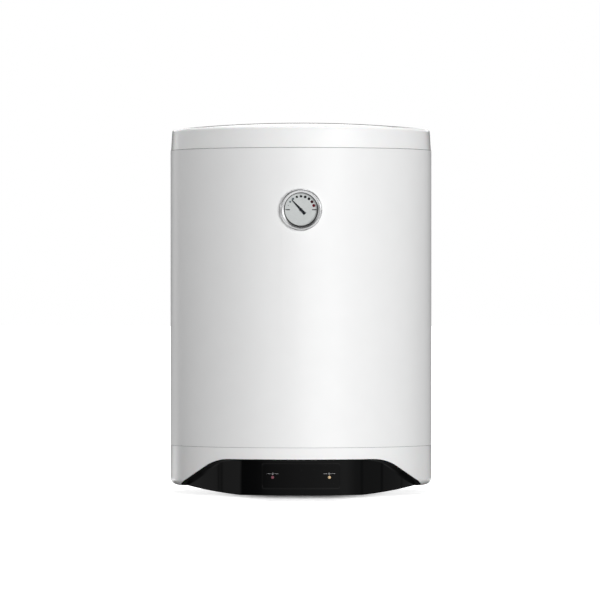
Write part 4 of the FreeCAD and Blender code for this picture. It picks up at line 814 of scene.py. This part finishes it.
class HEATER_OT_lock_seam(bpy.types.Operator):
    """Folded seam where the jacket's sheet closes, up the middle of the back: a strip that
    follows the jacket, y = sqrt((R + stand)^2 - x^2), with rounded edges"""
    bl_idname = "heater.lock_seam"
    bl_label = "Jacket seam"

    def execute(self, context):
        sizes = context.scene.heater_sizes
        half, up = sizes.seam_width / 2, sizes.seam_height
        left, right = np.radians([np.linspace(-90, 0, 5), np.linspace(0, 90, 5)])
        across = np.concatenate([up - half + up * np.sin(left), half - up + up * np.sin(right),
                                 [half, -half]])
        stand = np.concatenate([up * np.cos(left), up * np.cos(right), [-FOLD_SUNK] * 2])
        levels = np.linspace(JACKET[0, 2] + FOLD_INSET, JACKET[1, 2] - FOLD_INSET, FOLD_ROWS)
        x, z = np.meshgrid(across, levels)
        y = AXIS_Y + np.sqrt((JACKET_R + stand) ** 2 - x ** 2)
        n, count = len(across), x.size
        faces = grid_faces(FOLD_ROWS, n)[:, ::-1].tolist()
        faces += [list(range(n)), list(range(count - n, count))[::-1]]
        new_piece("jacket_seam", np.stack([x, y, z], axis=-1).reshape(-1, 3), faces,
                  "jacket_white", smooth=50.0)
        return {"FINISHED"}


# --- Studio ---
# What gloss sees below the horizon, by degrees to the right of straight ahead: (place, grey).
CARDS = ((-180, 1.0), (-165, 1.0), (-153, 1.5), (-140, 0.6), (-131, 0.12), (-110, 0.18),
         (-90, 0.22), (-84.5, 0.21), (-82.8, 0.09), (-81, 0.19), (-79, 0.08), (-77, 0.21),
         (-58.3, 0.24), (-56.8, 0.01), (-42, 0.02), (-28, 0.10), (0, 0.17), (34, 0.22),
         (42, 0.26), (52, 0.13), (57, 0.12), (58.4, 0.01), (59.8, 0.12), (79, 0.12),
         (80.8, 0.01), (82.6, 0.13), (106, 0.14), (108, 0.06), (110, 0.14), (120, 0.14),
         (150, 0.6), (180, 1.0))
# And above it.
WALL = ((-180, 0.7), (-165, 0.9), (-153, 1.6), (-140, 0.7), (-120, 0.7), (-70, 0.6), (-30, 0.6),
        (0, 0.7), (20, 1.6), (34, 2.2), (50, 1.5), (68, 0.6), (120, 0.6), (180, 0.7))
# Masks over the height, from 0 straight below to 1 straight above.
HEIGHT_MASKS = {"above": ((0.499, 0.0), (0.504, 1.0)),
                "ceiling": ((0.62, 0.0), (0.70, 1.0), (0.88, 1.0), (0.95, 0.0)),
                "floor": ((0.12, 0.0), (0.16, 1.0), (0.40, 1.0), (0.445, 0.0)),
                "horizon": ((0.47, 0.0), (0.49, 1.0), (0.547, 1.0), (0.555, 0.0)),
                "sky": ((0.547, 0.0), (0.555, 1.0), (0.60, 1.0), (0.64, 0.0)),
                "low": ((0.02, 0.0), (0.08, 1.0), (0.40, 1.0), (0.45, 0.0))}
# Masks over the facing, from 0 straight behind to 1 straight ahead.
FACING_MASKS = {"front": ((0.45, 0.0), (0.60, 1.0)), "back": ((0.02, 1.0), (0.10, 0.0)),
                "rear": ((0.25, 1.0), (0.35, 0.0))}
# Laid over cards and wall in turn: where, and how bright.
PATCHES = (("ceiling", "front", 0.06), ("floor", "front", 0.85), ("horizon", "back", 0.15),
           ("sky", "rear", 1.3), ("low", "rear", 0.02))
FLOOR_HALF = 60.0  # half the floor's side, in metres
FLOOR_DROP = 1.0 * MM  # floor below the heater's lowest point
FLOOR_GREY = 0.9
# The glow paints light over the floor's shadow away from the heater's front; near the front it
# stays weak, a painted shade patch in which the real shadow shows.
SHADE_DEPTH = 0.18  # metres that the shade reaches further ahead than sideways
SHADE_EDGE = (0.042, 0.155)  # metres at which it starts to fade and has faded
SHADE_GLOW = (0.05, 0.75)  # the floor's glow within the shade and beyond it


def sun(name, turn, rise, strength, size):
    """Distant lamp: it shines from azimuth turn to the right of the front and rise above the
    horizon, and its disc is size wide."""
    lamp = bpy.data.lights.new(name, "SUN")
    lamp.energy = strength
    lamp.angle = size
    holder = bpy.data.objects.new(name, lamp)
    bpy.context.scene.collection.objects.link(holder)
    away = Vector((math.sin(turn) * math.cos(rise), -math.cos(turn) * math.cos(rise),
                   math.sin(rise)))
    holder.rotation_euler = away.to_track_quat("Z", "Y").to_euler()
    holder.visible_glossy = False
    holder.visible_transmission = False


def make_world(studio):
    """White where the camera looks at it, a plain ambient light for matt surfaces, and a studio
    for gloss.  The studio has cards below the horizon and a wall above it, both by azimuth.
    Ahead are a dark ceiling and a pale floor.  Behind are a dark strip at the horizon, a bright
    sky above it, and black low down."""
    world = bpy.data.worlds.new("studio")
    bpy.context.scene.world = world
    world.use_nodes = True
    tree = world.node_tree
    tree.nodes.clear()
    path = put(tree, "ShaderNodeLightPath")
    place = put(tree, "ShaderNodeTexCoord")
    split = put(tree, "ShaderNodeSeparateXYZ")
    ahead = put(tree, "ShaderNodeMath", {1: -1.0}, operation="MULTIPLY")
    azimuth = put(tree, "ShaderNodeMath", operation="ARCTAN2")
    along = put(tree, "ShaderNodeMapRange", {1: -math.pi, 2: math.pi})
    height = put(tree, "ShaderNodeMapRange", {1: -1.0, 2: 1.0})
    facing = put(tree, "ShaderNodeMapRange", {1: -1.0, 2: 1.0})
    wire(tree, (place, "Generated", split, 0), (split, "Y", ahead, 0), (split, "X", azimuth, 0),
         (ahead, 0, azimuth, 1), (azimuth, 0, along, 0), (split, "Z", height, 0),
         (ahead, 0, facing, 0))

    def ramp(stops, source):
        """Grey ramp through (place, grey) stops."""
        node = put(tree, "ShaderNodeValToRGB")
        band = node.color_ramp
        while len(band.elements) > 1:
            band.elements.remove(band.elements[-1])
        for i, (position, grey) in enumerate(stops):
            stop = band.elements.new(position) if i else band.elements[0]
            stop.position = position
            stop.color = (grey, grey, grey, 1.0)
        wire(tree, (source, 0, node, 0))
        return node

    def mixed(factor, first, second, output=0):
        """Blend of two greys, each a number or a node's colour, by a node's output."""
        node = put(tree, "ShaderNodeMix", data_type="RGBA")
        wire(tree, (factor, output, node, 0))
        for socket, value in ((6, first), (7, second)):
            if isinstance(value, float):
                node.inputs[socket].default_value = (value, value, value, 1.0)
            else:
                tree.links.new(value, node.inputs[socket])
        return node.outputs[2]

    cards, wall = (ramp([((turn + 180) / 360, grey) for turn, grey in stops], along)
                   for stops in (CARDS, WALL))
    masks = {name: ramp(stops, height) for name, stops in HEIGHT_MASKS.items()}
    masks |= {name: ramp(stops, facing) for name, stops in FACING_MASKS.items()}
    seen = mixed(masks["above"], cards.outputs[0], wall.outputs[0])
    for first, second, grey in PATCHES:
        both = put(tree, "ShaderNodeMath", operation="MULTIPLY")
        wire(tree, (masks[first], 0, both, 0), (masks[second], 0, both, 1))
        seen = mixed(both, seen, grey)
    glossy = mixed(path, studio.ambient, seen, "Is Glossy Ray")
    light = mixed(path, glossy, 1.0, "Is Camera Ray")
    background = put(tree, "ShaderNodeBackground", {"Strength": 1.0})
    tree.links.new(light, background.inputs["Color"])
    wire(tree, (background, 0, put(tree, "ShaderNodeOutputWorld"), "Surface"))


def make_floor(level):
    """Wide white floor that shows to the camera alone, and from above only: a matt white that
    keeps the shadow, and a glow.  The glow is weak at the heater's front and grows with
    max(|x|, |y - front| - SHADE_DEPTH), so it paints out the shadow away from the front and
    leaves a painted shade patch there."""
    size = FLOOR_HALF
    mesh = bpy.data.meshes.new("floor")
    mesh.from_pydata([(-size, -size, level), (size, -size, level), (size, size, level),
                      (-size, size, level)], [], [(0, 1, 2, 3)])
    floor = bpy.data.objects.new("floor", mesh)
    bpy.context.scene.collection.objects.link(floor)
    material = bpy.data.materials.new("floor_white")
    material.use_nodes = True
    tree = material.node_tree
    tree.nodes.clear()
    matt = put(tree, "ShaderNodeBsdfDiffuse", {"Color": (FLOOR_GREY,) * 3 + (1.0,)})
    glow = put(tree, "ShaderNodeEmission", {"Color": (1.0, 1.0, 1.0, 1.0)})
    place = put(tree, "ShaderNodeTexCoord")
    split = put(tree, "ShaderNodeSeparateXYZ")
    apart = put(tree, "ShaderNodeMath", operation="ABSOLUTE")
    ahead = put(tree, "ShaderNodeMath", {1: JACKET_R - AXIS_Y}, operation="ADD")
    away = put(tree, "ShaderNodeMath", operation="ABSOLUTE")
    past = put(tree, "ShaderNodeMath", {1: SHADE_DEPTH}, operation="SUBTRACT")
    reach = put(tree, "ShaderNodeMath", operation="MAXIMUM")
    fade = put(tree, "ShaderNodeMapRange", dict(enumerate(SHADE_EDGE + SHADE_GLOW, 1)),
               interpolation_type="SMOOTHSTEP")
    both = put(tree, "ShaderNodeAddShader")
    clear = put(tree, "ShaderNodeBsdfTransparent")
    side = put(tree, "ShaderNodeNewGeometry")
    pick = put(tree, "ShaderNodeMixShader")
    wire(tree, (place, "Object", split, 0), (split, "X", apart, 0), (split, "Y", ahead, 0),
         (ahead, 0, away, 0), (away, 0, past, 0), (apart, 0, reach, 0), (past, 0, reach, 1),
         (reach, 0, fade, 0), (fade, 0, glow, "Strength"), (matt, 0, both, 0),
         (glow, 0, both, 1), (side, "Backfacing", pick, 0), (both, 0, pick, 1),
         (clear, 0, pick, 2), (pick, 0, put(tree, "ShaderNodeOutputMaterial"), "Surface"))
    mesh.materials.append(material)
    for ray in ("visible_diffuse", "visible_glossy", "visible_transmission", "visible_shadow"):
        setattr(floor, ray, False)


class HEATER_OT_stage(bpy.types.Operator):
    """Floor, world, lamps and camera"""
    bl_idname = "heater.stage"
    bl_label = "Stage"

    def execute(self, context):
        studio = context.scene.heater_studio
        make_world(studio)
        make_floor(CAD_BOX[0][2] - FLOOR_DROP)
        quarter, degree = math.pi / 2, math.radians(1)
        for name, turn, rise, strength, size in (
                ("key", studio.key_turn, studio.key_rise, studio.key, 40),
                ("left_back", -120 * degree, 5 * degree, studio.left, 30),
                ("right_back", 115 * degree, 5 * degree, studio.right, 30),
                ("top", math.pi, 80 * degree, studio.top, 12),
                ("under", 0.0, -quarter, studio.under, 80)):
            sun(name, turn, rise, strength, size * degree)
        camera = bpy.data.cameras.new("camera")
        camera.lens = studio.lens
        camera.sensor_width = 36.0
        camera.clip_end = 200.0
        holder = bpy.data.objects.new("camera", camera)
        holder.location = (studio.side, AXIS_Y - studio.distance, studio.eye_level)
        holder.rotation_euler = (quarter, 0.0, 0.0)
        context.scene.collection.objects.link(holder)
        context.scene.camera = holder
        context.scene.view_settings.view_transform = "Standard"
        return {"FINISHED"}


# --- Add-on ---
STEPS = (HEATER_OT_finishes, HEATER_OT_seams, HEATER_OT_bezel, HEATER_OT_dial_marks,
         HEATER_OT_symbols, HEATER_OT_window_edge, HEATER_OT_threads, HEATER_OT_knob_scale,
         HEATER_OT_lock_seam, HEATER_OT_stage)
GROUPS_OF_PROPERTIES = {"heater_sizes": HeaterSizes, "heater_colours": HeaterColours,
                        "heater_studio": HeaterStudio}


class HEATER_PT_sidebar(bpy.types.Panel):
    """Steps and sizes of the heater"""
    bl_label = "Heater"
    bl_idname = "HEATER_PT_sidebar"
    bl_space_type = "VIEW_3D"
    bl_region_type = "UI"
    bl_category = "Heater"

    def draw(self, context):
        for step in STEPS:
            self.layout.operator(step.bl_idname)
        for name, group in GROUPS_OF_PROPERTIES.items():
            for key in group.__annotations__:
                self.layout.prop(getattr(context.scene, name), key)


CLASSES = (*GROUPS_OF_PROPERTIES.values(), *STEPS, HEATER_PT_sidebar)


def register():
    for item in CLASSES:
        bpy.utils.register_class(item)
    for name, group in GROUPS_OF_PROPERTIES.items():
        setattr(bpy.types.Scene, name, bpy.props.PointerProperty(type=group))


def unregister():
    for name in GROUPS_OF_PROPERTIES:
        delattr(bpy.types.Scene, name)
    for item in reversed(CLASSES):
        bpy.utils.unregister_class(item)


def main():
    register()
    for step in STEPS:
        family, name = step.bl_idname.split(".")
        getattr(getattr(bpy.ops, family), name)()
    bpy.context.view_layer.update()


if __name__ == "__main__":
    main()
